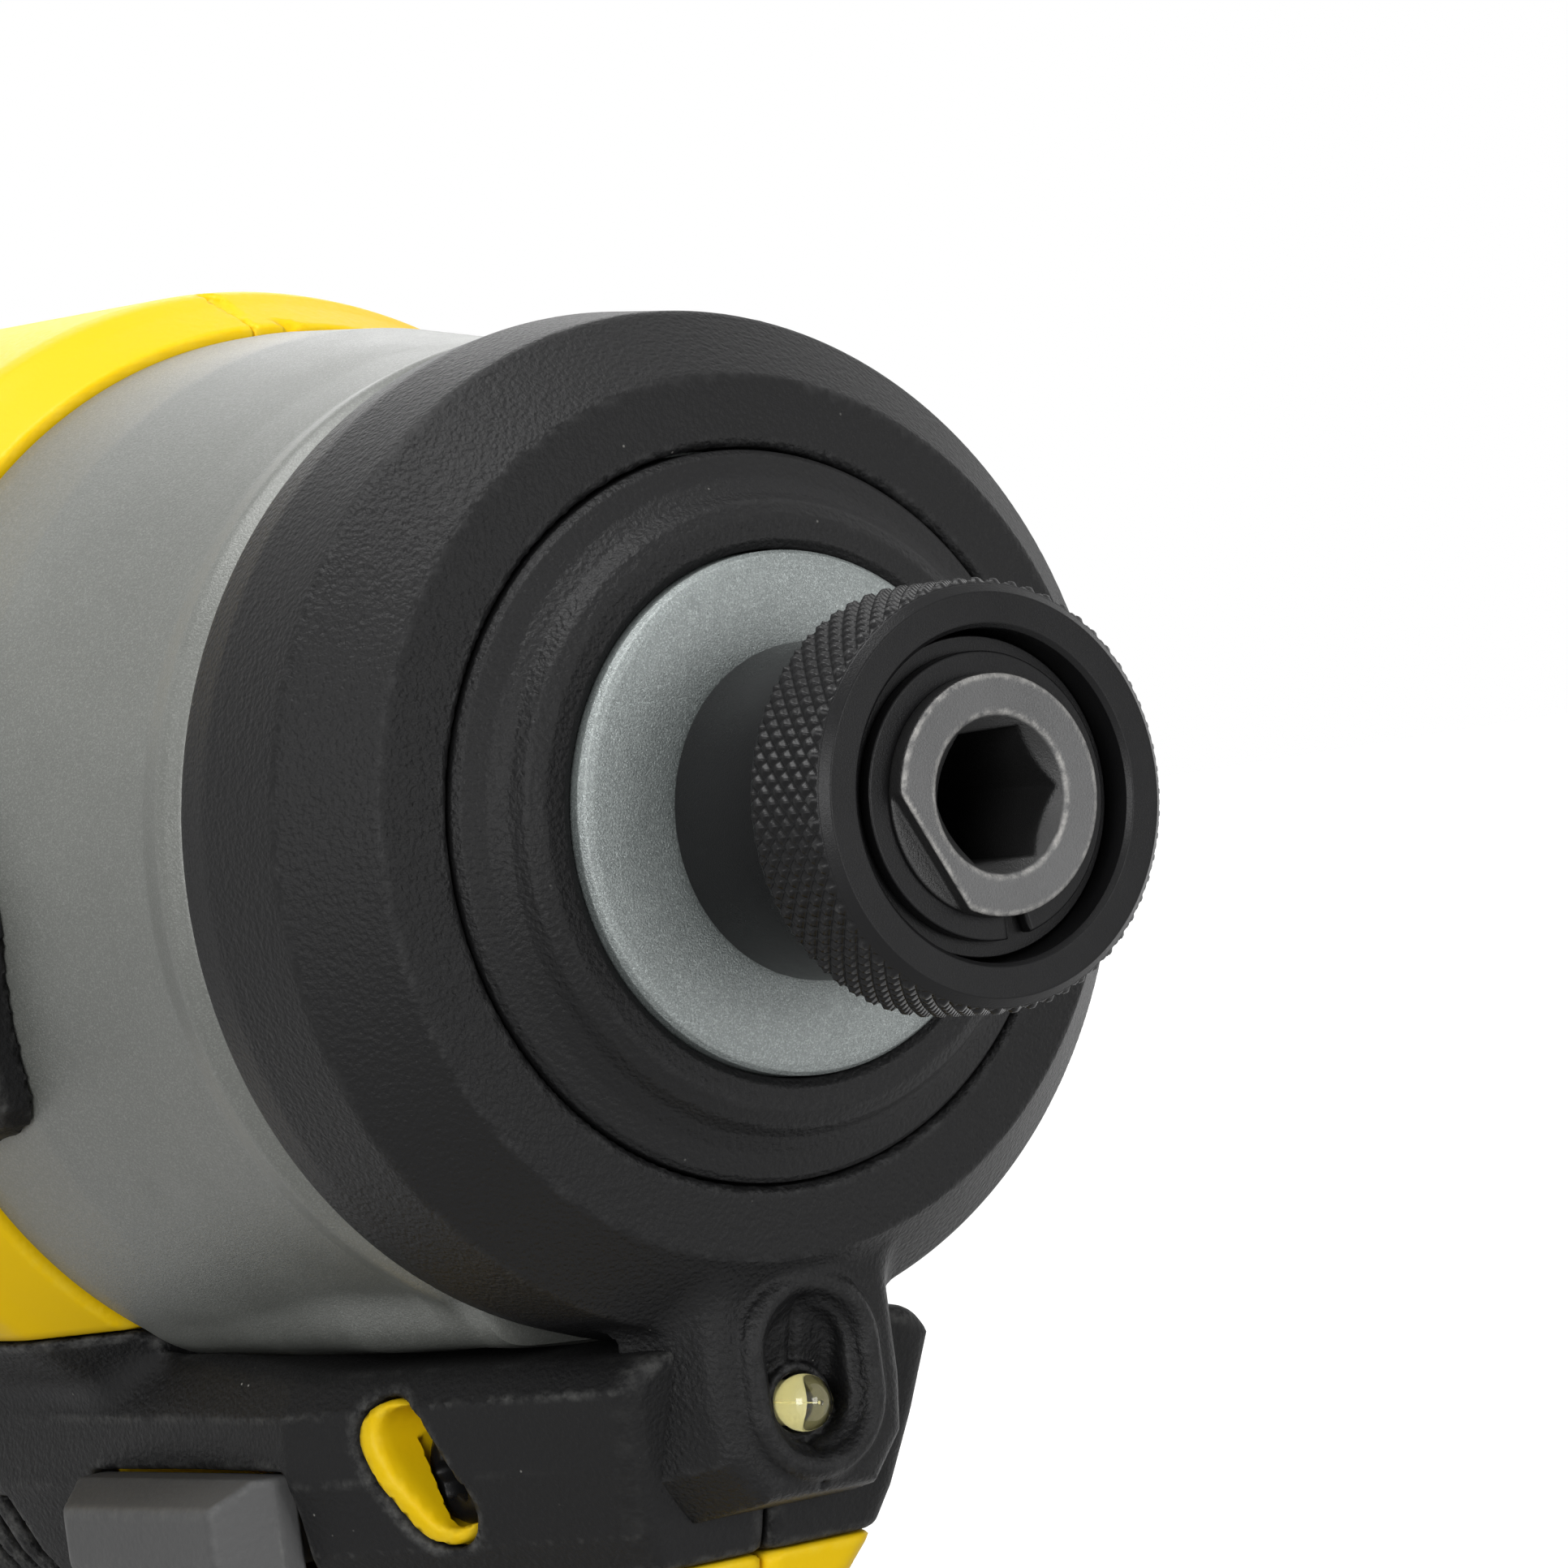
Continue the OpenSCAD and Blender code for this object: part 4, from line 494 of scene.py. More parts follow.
def grid_piece(name, rows, body, mat, nodes, edge=None, around=True):
    """Piece from rows of points, each row a closed ring; rows close on the first one if around is set."""
    rows = np.asarray(rows)
    m, n = rows.shape[:2]
    j, i = np.meshgrid(np.arange(m if around else m - 1), np.arange(n), indexing="ij")
    a, b = j * n + i, j * n + (i + 1) % n
    c, d = ((j + 1) % m) * n + (i + 1) % n, ((j + 1) % m) * n + i
    quads = np.stack([a, b, c, d], -1).reshape(-1, 4)
    piece = new_object(name, place(rows.reshape(-1, 3)).tolist(), quads.tolist())
    if edge is not None:
        mark_wear(piece.data, edge)
    return dress(piece, body, mat, nodes)


def rounded(points, radius, steps=4, hold=0.12):
    """Closed outline with its corners turned into small arcs and each straight held near its ends."""
    out = []
    n = len(points)
    radius = [radius] * n if isinstance(radius, (int, float)) else radius
    for i in range(n):
        a, b, c = (np.array(points[k % n], float) for k in (i - 1, i, i + 1))
        u, v = a - b, c - b
        lu, lv = np.linalg.norm(u), np.linalg.norm(v)
        u, v = u / lu, v / lv
        half = math.acos(max(-1, min(1, float(u @ v)))) / 2
        r = radius[i]
        if r <= 0 or half > 1.5:
            out.append(b)
            continue
        reach = min(r / math.tan(half), 0.45 * lu, 0.45 * lv)
        r = reach * math.tan(half)
        mid = b + (u + v) / np.linalg.norm(u + v) * r / math.sin(half)
        start, end = b + u * reach, b + v * reach
        s0, s1 = start - mid, end - mid
        turn = math.atan2(s0[0] * s1[1] - s0[1] * s1[0], float(s0 @ s1))
        out.append(start + u * min(hold, 0.04 * lu))
        for k in range(steps + 1):
            w = turn * k / steps
            out.append(mid + (s0[0] * math.cos(w) - s0[1] * math.sin(w), s0[0] * math.sin(w) + s0[1] * math.cos(w)))
        out.append(end + v * min(hold, 0.04 * lv))
    return np.array(out)


def full_turn(count):
    return np.arange(count) * 2 * math.pi / count


def about_spindle(x, r, angle):
    return np.stack([x, r * np.sin(angle), r * np.cos(angle)], -1)


def spin(name, outline, radius, body, mat, nodes, wear=None):
    """Piece turned about the spindle from a closed [radius, x] outline with rounded corners."""
    line = rounded(outline, radius)
    angle = full_turn(SPIN_SEGMENTS)
    rows = about_spindle(line[:, 1:] + 0 * angle, line[:, :1] + 0 * angle, angle)
    area = 0.5 * np.sum(line[:, 0] * np.roll(line[:, 1], -1) - np.roll(line[:, 0], -1) * line[:, 1])
    if area > 0:
        rows = rows[::-1]
    edge = None
    if wear:
        a, b = line - np.roll(line, 1, 0), np.roll(line, -1, 0) - line
        bend = a[:, 0] * b[:, 1] - a[:, 1] * b[:, 0]
        size = np.linalg.norm(a, axis=1) * np.linalg.norm(b, axis=1)
        sharp = np.clip(np.sign(area) * bend / np.maximum(size, 1e-9) / 0.25, 0, 1) * wear
        edge = np.repeat(sharp[:, None], SPIN_SEGMENTS, 1)
        edge = edge[::-1] if area > 0 else edge
    return grid_piece(name, rows, body, mat, nodes, edge)


class Turned:
    """Distance to a form turned about the spindle, read from a table of its closed [radius, x] outline."""
    STEP, PAD = 0.1, 6.0

    def __init__(self, outline):
        outline = [tuple(map(float, p)) for p in outline]
        rs, xs = [p[0] for p in outline], [p[1] for p in outline]
        self.r0, self.x0 = max(0, min(rs) - self.PAD), min(xs) - self.PAD
        r = np.arange(self.r0, max(rs) + self.PAD, self.STEP)
        x = np.arange(self.x0, max(xs) + self.PAD, self.STEP)
        rr, xx = np.meshgrid(r, x, indexing="ij")
        self.table = polygon(rr, xx, outline).astype(np.float32)

    def __call__(self, r, x):
        n, m = self.table.shape
        u, v = (r - self.r0) / self.STEP, (x - self.x0) / self.STEP
        uc, vc = np.clip(u, 0, n - 1.001), np.clip(v, 0, m - 1.001)
        i, j = uc.astype(np.int32), vc.astype(np.int32)
        a, b = uc - i, vc - j
        t = self.table
        inner = (t[i, j] * (1 - a) + t[i + 1, j] * a) * (1 - b) + (t[i, j + 1] * (1 - a) + t[i + 1, j + 1] * a) * b
        return inner + np.hypot(u - uc, v - vc) * self.STEP


# ---------------------------------------------------------------- forms of the housing

BARREL = Turned(rounded([(0, -HOUSING_FRONT), (28.66, -HOUSING_FRONT), (29.15, -HOUSING_FRONT), (30.5, -64.5),
                         (31.3, -66),
                         (BARREL_R, -67.1), (BARREL_R, -112.8), (30.85, -113.1), (30.85, -113.9), (31.4, -114.4),
                         (31.3, -121.5), (30.6, -128), (28.5, -134), (25.5, -137), (22.5, -BARREL_REAR),
                         (0, -BARREL_REAR)],
                        [0, 0.2, 0.45, 1.2, 2, 3, 0.25, 0.2, 0.2, 0.25, 20, 12, 6, 4, 4, 0], 4))
BORE = Turned([(0, -40), (27.45, -40), (27.45, -73.8), (28.7, -74.6), (28.7, -130), (26, -133), (0, -135.4)])
CASE_SIDE = Turned([(0, -20), (25.6, -20), (25.6, -34.85), (26.05, -35.7), (26.5, -42.4), (28.1, -52.6),
                    (CASE_R, -59.6), (CASE_R, -75), (0, -75)])
PATCH = Turned([(26.6, -40), (30.1, -40), (30.3, -60), (31.55, -66.5), (31.55, -112), (30.0, -112),
                (30.0, -64.5), (28.66, -61.5), (26.6, -61.4)])

LEVELS = np.arange(-147, -4, 0.25)


def hand_shape():
    """Centre, reach forwards and backwards, half width and squareness of the hand's section at each level."""
    foot = (-88.75, 37.75, 37.75, 34.0, 5.0)
    sections = [(-147.0, *foot), (FOOT_TOP - 10, *foot)]
    for u in np.linspace(0, 1, 24):
        w = (1 - u) ** 2
        sections.append((FOOT_TOP - 10 + 17 * u, -100 + 11.25 * w, 21.5 + 16.25 * w, 22.5 + 15.25 * w,
                         16.8 + 17.2 * w, 2.5 + 2.5 * w))
    for share, *rest in ((0.18, 20.2, 21.2, 16, 2.4), (0.36, 20.4, 20.6, 16.2, 2.35), (0.54, 21, 20.6, 16.4, 2.35),
                         (0.68, 20.8, 21.6, 16.2, 2.4), (0.8, 21, 23.6, 16.4, 2.5), (0.9, 23, 27, 16.8, 2.6),
                         (1, 27, 33, 17.2, 2.8), (1.08, 30, 36, 17.6, 3), (1.2, 31, 37, 17.8, 3)):
        sections.append((-122 + 98 * share, -95 - 5 * (1 - share), *rest))
    sections = np.array(sections)
    kernel = np.hanning(33) / np.hanning(33).sum()
    shape = [np.interp(LEVELS, sections[:, 0], sections[:, i]) for i in range(1, 6)]
    return np.array([np.convolve(np.pad(row, 16, "edge"), kernel, "valid") for row in shape])


HAND_SHAPE = hand_shape()


def hand(x, y, z):
    """Handle and foot: smooth sections from the foot up to the barrel."""
    cx, fwd, back, half, n = (np.interp(z, LEVELS, row) for row in HAND_SHAPE)
    a = np.where(x > cx, fwd, back)
    u, v = np.maximum(np.abs(x - cx) / a, 1e-4), np.maximum(np.abs(y) / half, 1e-4)
    s = (u ** n + v ** n) ** (1 / n)
    grad = s ** (1 - n) * np.hypot(u ** (n - 1) / a, v ** (n - 1) / half)
    side = (s - 1) / np.maximum(grad, 0.6 / np.maximum(a, half))
    return smax(smax(side, FOOT_Z - z, 1.6), z + 10, 4)


def between(near, far, t):
    """Outline whose corners move from near to far as t goes from 0 to 1."""
    return [(a[0] + (b[0] - a[0]) * t, a[1] + (b[1] - a[1]) * t) for a, b in zip(near, far)]


def chin(x, y, z):
    """Block under the hammer case that carries the lamp, the button and the front screw; its front leans back."""
    front = -24.9 + 0.336 * (np.clip(z, -42, -22) + 28.1)
    t = np.clip((front - x) / (47.5 + front), 0, 1)
    near = [(0, -18), (6.6, -18), (7.2, -25.2), (9.9, -28.15), (9.1, -32.3), (8.1, -36.1), (7.1, -38.3),
            (5.6, -40.4), (3.9, KEEL_BOTTOM), (0, KEEL_BOTTOM)]
    far = [(0, -18), (14.5, -18), (14.5, -25.4), (16.4, -28.6), (17, -32.3), (16.0, -36.1), (14.7, -38.3),
           (13.0, -40.4), (11.5, KEEL_BOTTOM), (0, KEEL_BOTTOM)]
    side = polygon(np.abs(y) + 0 * x, z + 0 * x, between(near, far, t))
    block = smax(side + 0.3, (x - front) * 0.948 + 0.3, 1.1) - 0.3
    top = z + 26.4 - 1.2 * np.clip((-46 - x) / 14, 0, 1)
    block = smax(np.maximum(block, -84 - x), top, 1.1)
    dish = (np.sqrt(((x + 58.5) / 14.5) ** 2 + ((np.abs(y) - 18.6) / 3.4) ** 2 + ((z + 35.4) / 5.6) ** 2) - 1) * 3.2
    return smax(block, -dish, 1.6)


SEAM_MARKS = [((-66.2, 0.3, 31.25), (-63.1, 0.2, 30.2)), ((-62.3, 1.6, 30.2), (-61.5, 2.75, 28.5))]


def trunk(x, y, z):
    """Whole outer form of the two halves, without openings."""
    r = np.hypot(y, z)
    under = chin(x, y, z)
    whole = smin(smin(BARREL(r, x), hand(x, y, z), 5.0), under, 2.0)
    under_case = -26.35 + 1.65 * np.clip((-44.5 - x) / 17, 0, 1)
    ledge = np.maximum(np.maximum(under_case - z, np.abs(y) - 15.5), z + 20)
    gap = np.minimum(CASE_SIDE(r, x) - 0.4, ledge)
    whole = smax(whole, -np.where(x > -61.2, gap, 9), 0.4)
    for a, b in SEAM_MARKS:
        e = np.subtract(b, a)
        k = np.clip(((x - a[0]) * e[0] + (y - a[1]) * e[1] + (z - a[2]) * e[2]) / (e @ e), 0, 1)
        mark = np.sqrt((x - a[0] - e[0] * k) ** 2 + (y - a[1] - e[1] * k) ** 2 + (z - a[2] - e[2] * k) ** 2) - 0.42
        whole = smax(whole, -mark, 0.15)
    return whole


GRIP_ZONE = [(-18, CHIN_BOTTOM), (-18, -23.9), (-141, -23.9), (-141, -36), (-128, -120), (-108, -126), (-84, -126),
             (-70, -120), (-60, -58.2), (-72, -42.2), (-62, CHIN_BOTTOM)]
INLAY = [(-112.5, -50), (-104, -46), (-93.5, -80), (-92, -104), (-96, -120), (-99, -120), (-99.5, -96), (-103, -72)]
SIDE_PATCH = [(-51.9, -11.4), (-49.7, 0), (-56, 12), (-66, 12.5), (-100, 9), (-106, 4), (-106, -8), (-99, -13.5),
              (-66, -13.5), (-57.5, -12.4)]
RECESS, RIM = ((-40.05, -29.9), (-38.3, -33.5)), ((-40.7, -30.0), (-38.9, -33.9))
RECESS_R, RIM_R = 1.5, 2.0
RECESS_FLOOR = 11.8
PIN_MARK = (-37.3, -32.3)
# Boxes cut through both halves, with the radius of their edges: trigger, button, rails and lamp leads
CUTS = [((-86, -8.8, -66.9), (-20, 8.8, -42.1), 0.8), ((-68.0, -40, -37.6), (-47.9, 40, -31.5), 0.6),
        ((-160, -22.3, -150), (-54.6, 22.3, -138), 0), ((-160, -26.3, -141.7), (-54.6, 26.3, -138), 0),
        ((-68, -2.5, -30.5), (-20, 2.5, -29.1), 0)]
VENT_FROM, VENT_STEP, VENTS = 62, 14, 5
SCREWS = [(-39.5, -32.2, 9.6), (-109, -37, 11.5), (-88, -78, 11), (-106, -110, 11), (-72, FOOT_Z + 12.6, 12),
          (-119, FOOT_Z + 12.6, 12)]


def soft_zone(x, y, z):
    """Below zero where the side view shows the soft layer."""
    zone = polygon(x, z, rounded(GRIP_ZONE, [0, 0, 0, 0, 9, 12, 12, 9, 6, 4, 3], 3).tolist())
    hard = polygon(x, z, rounded(INLAY, 3, 3).tolist())
    return smax(zone, -hard, 0.6)


def side_patch(x, z):
    return polygon(x, z, rounded(SIDE_PATCH, 3.2, 3).tolist())


def openings(x, y, z, right):
    """Distance to the cuts through the halves: trigger, button, rails, vents, screws, recess and lamp leads."""
    cut = np.minimum.reduce([box3((x, y, z), *box) for box in CUTS])
    for place_x, place_z, seat in SCREWS[1:] if right else []:
        cut = np.minimum(cut, np.maximum(np.hypot(x - place_x, z - place_z) - 3.15, y + seat))
    for k in range(3):
        rib = np.maximum(np.abs((x + 76.2 + 2.1 * k) + 0.5 * (z + 35)) * 0.9 - 0.45, np.abs(z + 36.2) - 3.2)
        cut = np.minimum(cut, np.maximum(rib, 14.6 - np.abs(y)))
    cut = np.minimum(cut, np.maximum(np.hypot(x + 92, z - FOOT_Z - 5.6) - 3.45, 20 - np.abs(y)))
    if right:
        place_x, place_z, seat = SCREWS[0]
        cut = np.minimum(cut, np.maximum(stadium(x, z, *RECESS, RECESS_R), y + seat))
        head = np.hypot(x - place_x, z - place_z) - 2.95
        cut = np.minimum(cut, np.maximum(head, np.maximum(y + seat, -RECESS_FLOOR - y)))
    angle = np.degrees(np.arctan2(np.abs(y), z))
    nearest = VENT_FROM + VENT_STEP * np.clip(np.round((angle - VENT_FROM) / VENT_STEP), 0, VENTS - 1)
    across = np.hypot(y, z) * np.radians(angle - nearest)
    vent = np.hypot(across, np.maximum(np.abs(x + 120.3) - 2.9, 0)) - 1.1
    return np.minimum(cut, np.maximum(vent, 24 - np.hypot(y, z)))


def soft_layer(x, y, z, right):
    """Soft overmould of one side: grip and chin, and the panel beside the motor."""
    side = -y if right else y
    whole = trunk(x, y, z)
    layer = smax(smax(whole, soft_zone(x, y, z), 0.5), -(whole + GRIP_T), 0.3)
    layer = np.maximum(layer, BARREL_R - 4.6 - np.hypot(y, z) - 6 * (z < -24))
    if right:
        rim = np.minimum(stadium(x, z, *RIM, RIM_R + 0.15), stadium(x, z, *RECESS, RECESS_R + 0.1))
    else:
        rim = np.hypot(x - PIN_MARK[0], z - PIN_MARK[1]) - 0.1
    layer = smax(layer, -rim, 0.5)
    panel = smax(side_patch(x, z), PATCH(np.hypot(y, z), x), 0.7)
    layer = np.minimum(layer, np.maximum(panel, 0.15 - CASE_SIDE(np.hypot(y, z), x)))
    layer = smax(layer, -openings(x, y, z, right), 0.4)
    return smax(layer, 0.03 - side, 0.25)


def hard_half(x, y, z, right):
    """Yellow half: the whole form without the soft layer's bed, hollow inside."""
    side = -y if right else y
    r = np.hypot(y, z)
    whole = trunk(x, y, z)
    bed = smax(soft_zone(x, y, z) - 0.12, -(whole + GRIP_T + 0.1), 0.2)
    bed = np.maximum(bed, BARREL_R - 4.7 - r - 6 * (z < -24))
    if right:
        bed = smax(bed, -stadium(x, z, *RIM, RIM_R), 0.3)
    half = smax(whole, -bed, 0.5)
    panel = np.maximum(side_patch(x, z) - 0.12, 29.9 - r)
    half = smax(half, -panel, 0.4)
    room = np.minimum(BORE(r, x), np.maximum(np.maximum(hand(x, y, z) + 4.2, FOOT_TOP - 2 - z), z + 42))
    half = np.maximum(half, -room)
    half = smax(half, -openings(x, y, z, right), 0.4)
    return smax(half, 0.02 - side, 0.16)


# ---------------------------------------------------------------- nose boot and its lamp boss

BOOT = Turned(rounded([(18.95, -23.95), (18.95, -20.63), (19.3, -20.33), (22.74, -20.85), (26.4, -25.03),
                       (26.9, -30.9), (26.6, -33.5), (25.75, -34.4), (25.05, -34.4), (25.05, -27.6)],
                      [0, 0.1, 0.25, 0.3, 0.8, 3, 1.0, 0.5, 0.1, 0], 5))
BOOT_BORE = Turned([(0, -10), (19, -10), (19, -24.0), (25.05, -27.6), (25.05, -40), (0, -40)])
WELL = (0, -27.7), (0, -30.0)


def boot(x, y, z):
    """Rubber boot with the boss that holds the lamp."""
    r = np.hypot(y, z)
    ring = BOOT(r, x)
    t = np.clip((-22.3 - x) / 5.0, 0, 1)
    near = [(0, -18), (5.6, -18), (5.6, -30.2), (5.3, -32.6), (3.4, -35.0), (0, -35.0)]
    far = [(0, -18), (8.1, -18), (8.1, -27.4), (7.5, -33.4), (5.0, -35.9), (0, -35.9)]
    side = polygon(np.abs(y) + 0 * x, z + 0 * x, between(near, far, t)) + 0.5
    side = smax(side, x + 22.35 + 0.5, 1.0) - 0.5
    side = np.maximum(np.maximum(side, -27.6 - x), -BOOT_BORE(r, x))
    body = smin(ring, side, 1.1)
    rim = np.hypot(stadium(y, z, *WELL, 3.68), (x + 22.4) * 0.85) - 0.72
    body = smin(body, rim, 0.4)
    floor = np.clip(-23.4 - 0.35 * (-26.5 - z), -24.7, -23.0)
    well = smax(stadium(y, z, *WELL, 2.45), floor - x, 0.8)
    body = smax(body, -well, 0.6)
    hole = np.hypot(y, z - LAMP_Z)
    collar = np.hypot(hole - 1.85, x + 23.95) - 0.3
    body = smin(body, collar, 0.25)
    return smax(body, -np.maximum(hole - 1.52, -29.5 - x), 0.15)


KNURL_ROWS, KNURL_PITCH, KNURL_H = 120, 0.57, 0.33
GRIP_R = 10.5


def knurled(r, x, angle):
    """Raises the sleeve's grip band into rows of small pyramids with worn tops."""
    i = angle / math.radians(360 / KNURL_ROWS)
    j = (-0.9 - x) / KNURL_PITCH
    u, v = (i + j) / 2, (i - j) / 2
    tall = 1 - 2 * np.maximum(np.abs(u - np.round(u)), np.abs(v - np.round(v)))
    on = np.clip((x + 6.08) / 0.3, 0, 1) * (r > 10.45) * (x < -0.46)
    return np.minimum(r + on * KNURL_H * np.minimum(tall / 0.6, 1), np.maximum(10.06 - x, r))


def sleeve():
    """Quick-change sleeve: chamfered mouth, knurled band and waist behind it."""
    front = [(6.1, -11.2), (6.1, -10), (8.29, -10), (8.29, -0.25), (8.54, 0), (10.06, 0), (GRIP_R, -0.44)]
    rear = [(9.21, -7.53), (8.86, -8.23), (8.61, -15.45), (8.31, -15.85), (7.39, -15.85)]
    start = rounded(front, [0, 0.1, 0.05, 0.1, 0.1, 0.12, 0.05], 4, 0.05)[:-1]
    ends = rounded([(GRIP_R, -6.2)] + rear + [(6.1, -11.2)], [0.15, 0.8, 0.5, 0.2, 0.15, 0.1, 0], 4, 0.05)
    steps = 6
    band = [(GRIP_R, x) for x in np.arange(-0.5, -6.14, -KNURL_PITCH / steps)]
    line = np.array(list(map(tuple, start)) + band + list(map(tuple, ends[:-1])))
    angle = full_turn(KNURL_ROWS * steps)
    r, x = line[:, :1] + 0 * angle, line[:, 1:] + 0 * angle
    lifted = knurled(r, x, angle[None] + 0 * r)
    rows = about_spindle(x, lifted, angle)[::-1]
    wear = np.clip((lifted - r) / KNURL_H * 5 - 4.1, 0, 1) * np.where(x > -1.1, 0.5, 0.08)
    wear[:len(start)] = 0
    grid_piece("sleeve_shell", rows, "sleeve", "black_oxide", ["collet_sleeve"], edge=wear[::-1])


DIMPLE_AT, DIMPLE_R = 32.2, 5


def case_body():
    """Painted case: rounded shoulder, bead behind the boot, ledge over the chin and two dimples."""
    outer = rounded([(22.5, -30), (24.95, -30), (24.95, -34.6), (25.7, -34.8), (26.45, -36.0), (26.05, -38.1),
                     (26.5, -42.4), (28.1, -52.6), (CASE_R, -59.6), (CASE_R, -61.3), (27.3, -61.3),
                     (27.3, -72.6), (26.6, -73.6), (26.6, -88.8), (22.5, -88.8)],
                    [0, 0.2, 0.3, 0.5, 1.2, 1.6, 8, 8, 1, 0.15, 0.1, 0.5, 0.3, 0.1, 0], 6)
    line, step = [outer[0]], 0.45
    for a, b in zip(outer[:-1], outer[1:]):
        shown = b[1] < -34.5 and a[1] > -61
        n = max(1, int(np.ceil(np.linalg.norm(b - a) / step))) if shown else 1
        line += [a + (b - a) * k / n for k in range(1, n + 1)]
    line = np.array(line)
    angle = full_turn(600)
    r, x = line[:, :1] + 0 * angle, line[:, 1:] + 0 * angle
    phi = np.abs(angle - math.pi)
    back = np.clip((-44.5 - x) / 17, 0, 1)
    half = np.clip(10 + (-29.5 - x) * 4 / 15, 6, 14) + 1.2 * back
    down, across = np.cos(phi) / (26.0 - 1.65 * back), np.sin(phi) / half
    ledge = 1 / np.maximum((np.maximum(down, 1e-3) ** 12 + across ** 12) ** (1 / 12), 1e-2)
    ledge = np.where(phi < 1.2, ledge, 0)
    outside = (x < -34.9) & (x > -61.35) & (r > 24)
    shaped = np.where(outside, smax(r, ledge + 0 * r, 2.2), r)
    for side in (-1, 1):
        a = math.radians(180 + side * 55)
        away = (x + 46) ** 2 + (DIMPLE_AT * np.sin(angle - a)) ** 2
        floor = DIMPLE_AT * np.cos(angle - a) - np.sqrt(np.maximum(DIMPLE_R ** 2 - away, 0))
        shaped = np.where((away < DIMPLE_R ** 2) & (np.cos(angle - a) > 0), smin(shaped, floor, 0.5), shaped)
    shaped = np.where(outside, shaped, r)
    rows = about_spindle(x, shaped, angle)
    grid_piece("case_shell", rows[::-1], "tool", "case_paint", ["hammer_case"])


def lamp():
    """Clear domed lamp with its reflector cup and chip."""
    count, rings = ((64, 18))
    domed = np.linspace(-0.64, math.pi / 2 - 0.02, rings)
    dome = [(0.0001, -27.4), (1.1, -27.4), (1.2, -27.3), (1.2, -24.2)]
    dome += [(1.5 * math.cos(a), -23.3 + 1.5 * math.sin(a)) for a in domed]
    cup = [(0.0001, -26.6), (0.7, -26.6), (0.85, -24.4), (0.78, -24.3), (0.5, -24.9), (0.3, -24.9), (0.3, -24.7),
           (0.0001, -24.7)]
    angle = full_turn(count)
    for name, line, mat in (("lamp_dome", dome, "lamp_clear"), ("lamp_cup", cup, "lamp_cup")):
        rows = np.array([about_spindle(x + 0 * angle, r, angle) for r, x in line]) + (0, 0, LAMP_Z)
        grid_piece(name, rows[::-1], "tool", mat, ["work_lamp"])


ANVIL_FACE, SOCKET, MOUTH_R = 0.43, 6.45, 4.05
LUG_AT, LUG_T = 38.9, 6.4
ANVIL = Turned(rounded([(0, ANVIL_FACE), (6.05, ANVIL_FACE), (6.05, -0.75), (5.4, -0.75), (5.4, -1.6),
                        (6.05, -1.6), (6.05, -16.3), (7.0, -17.0), (7.0, -34.7), (11, -34.7), (11, -36.1),
                        (0, -36.1)],
                       [0, 0.2, 0.08, 0, 0, 0.08, 0.1, 0.2, 0.1, 0.2, 0.1, 0], 4))


def anvil(x, y, z):
    """Output shaft: hex socket with a cone in its mouth, cut corner, detent hole, flange and two lugs."""
    r = np.hypot(y, z)
    shaft = ANVIL(r, x)
    along = np.abs(x + LUG_AT) - LUG_T / 2
    lugs = np.maximum(np.maximum(r - 18, np.abs(z) - 4.5), along)
    core = np.maximum(r - 10, along)
    shaft = np.minimum(shaft, smin(lugs, core, 0.6))
    socket = np.maximum(np.maximum(np.abs(z), np.abs(z) / 2 + np.abs(y) * 0.866) - SOCKET / 2, -24.6 - x)
    cone = (r - MOUTH_R - (x - ANVIL_FACE)) * 0.707
    shaft = smax(smax(shaft, -socket, 0.12), -np.maximum(cone, -2.4 - x), 0.1)
    shaft = np.maximum(shaft, 1.76 - np.hypot(x + 12.3, y))
    corner = -0.883 * y - 0.4695 * z - 4.95
    return smax(shaft, smin(corner, x + 0.47, 0.1), 0.1)


def split_ring():
    """Spring ring in the anvil's groove, open for a short stretch at the bottom."""
    count = 200
    arc = np.radians(np.linspace(193, 541, count))
    line = rounded([(5.45, -0.76), (7.2, -0.76), (7.2, -1.54), (5.45, -1.54)], 0.12, 3, 0.02)
    rows = [[(x, -r * math.sin(a), r * math.cos(a)) for r, x in line] for a in arc]
    shut = (6.3, np.mean(line[:, 1])) + (line - (6.3, np.mean(line[:, 1]))) * 0.01
    first, last = [[(x, -r * math.sin(a), r * math.cos(a)) for r, x in shut] for a in (arc[0], arc[-1])]
    grid_piece("ring_split", np.array([first] + rows + [last]), "anvil_body", "black_oxide", ["retaining_ring"],
               around=False)


def screw_heads():
    """Six-lobe clamshell screws with domed heads."""
    angle = full_turn(120)
    shank = [(0.001, 17.0), (1.4, 17.0), (1.5, 16.6), (1.5, 0.1), (2.0, 0.0), (2.75, -0.1), (2.9, -0.5),
             (2.85, -1.1), (2.6, -1.5), (2.1, -1.75)]
    drive = [(1.12, -1.82), (1.0, -1.76), (0.95, -0.6), (0.9, -0.3), (0.001, -0.1)]
    lobes = 1.42 + 0.22 * np.cos(6 * angle)
    rings = [(r + 0 * angle, d) for r, d in shank] + [(lobes * share, d) for share, d in drive]
    for k, (place_x, place_z, seat) in enumerate(SCREWS):
        rows = [np.stack([place_x + r * np.cos(angle), d - seat + 0 * angle, place_z + r * np.sin(angle)], -1)
                for r, d in rings]
        grid_piece("screw_%d" % (k + 1), np.array(rows), "tool", "black_oxide", ["housing_screws"], around=False)


BUTTON_AT = (-58.0, -34.6)


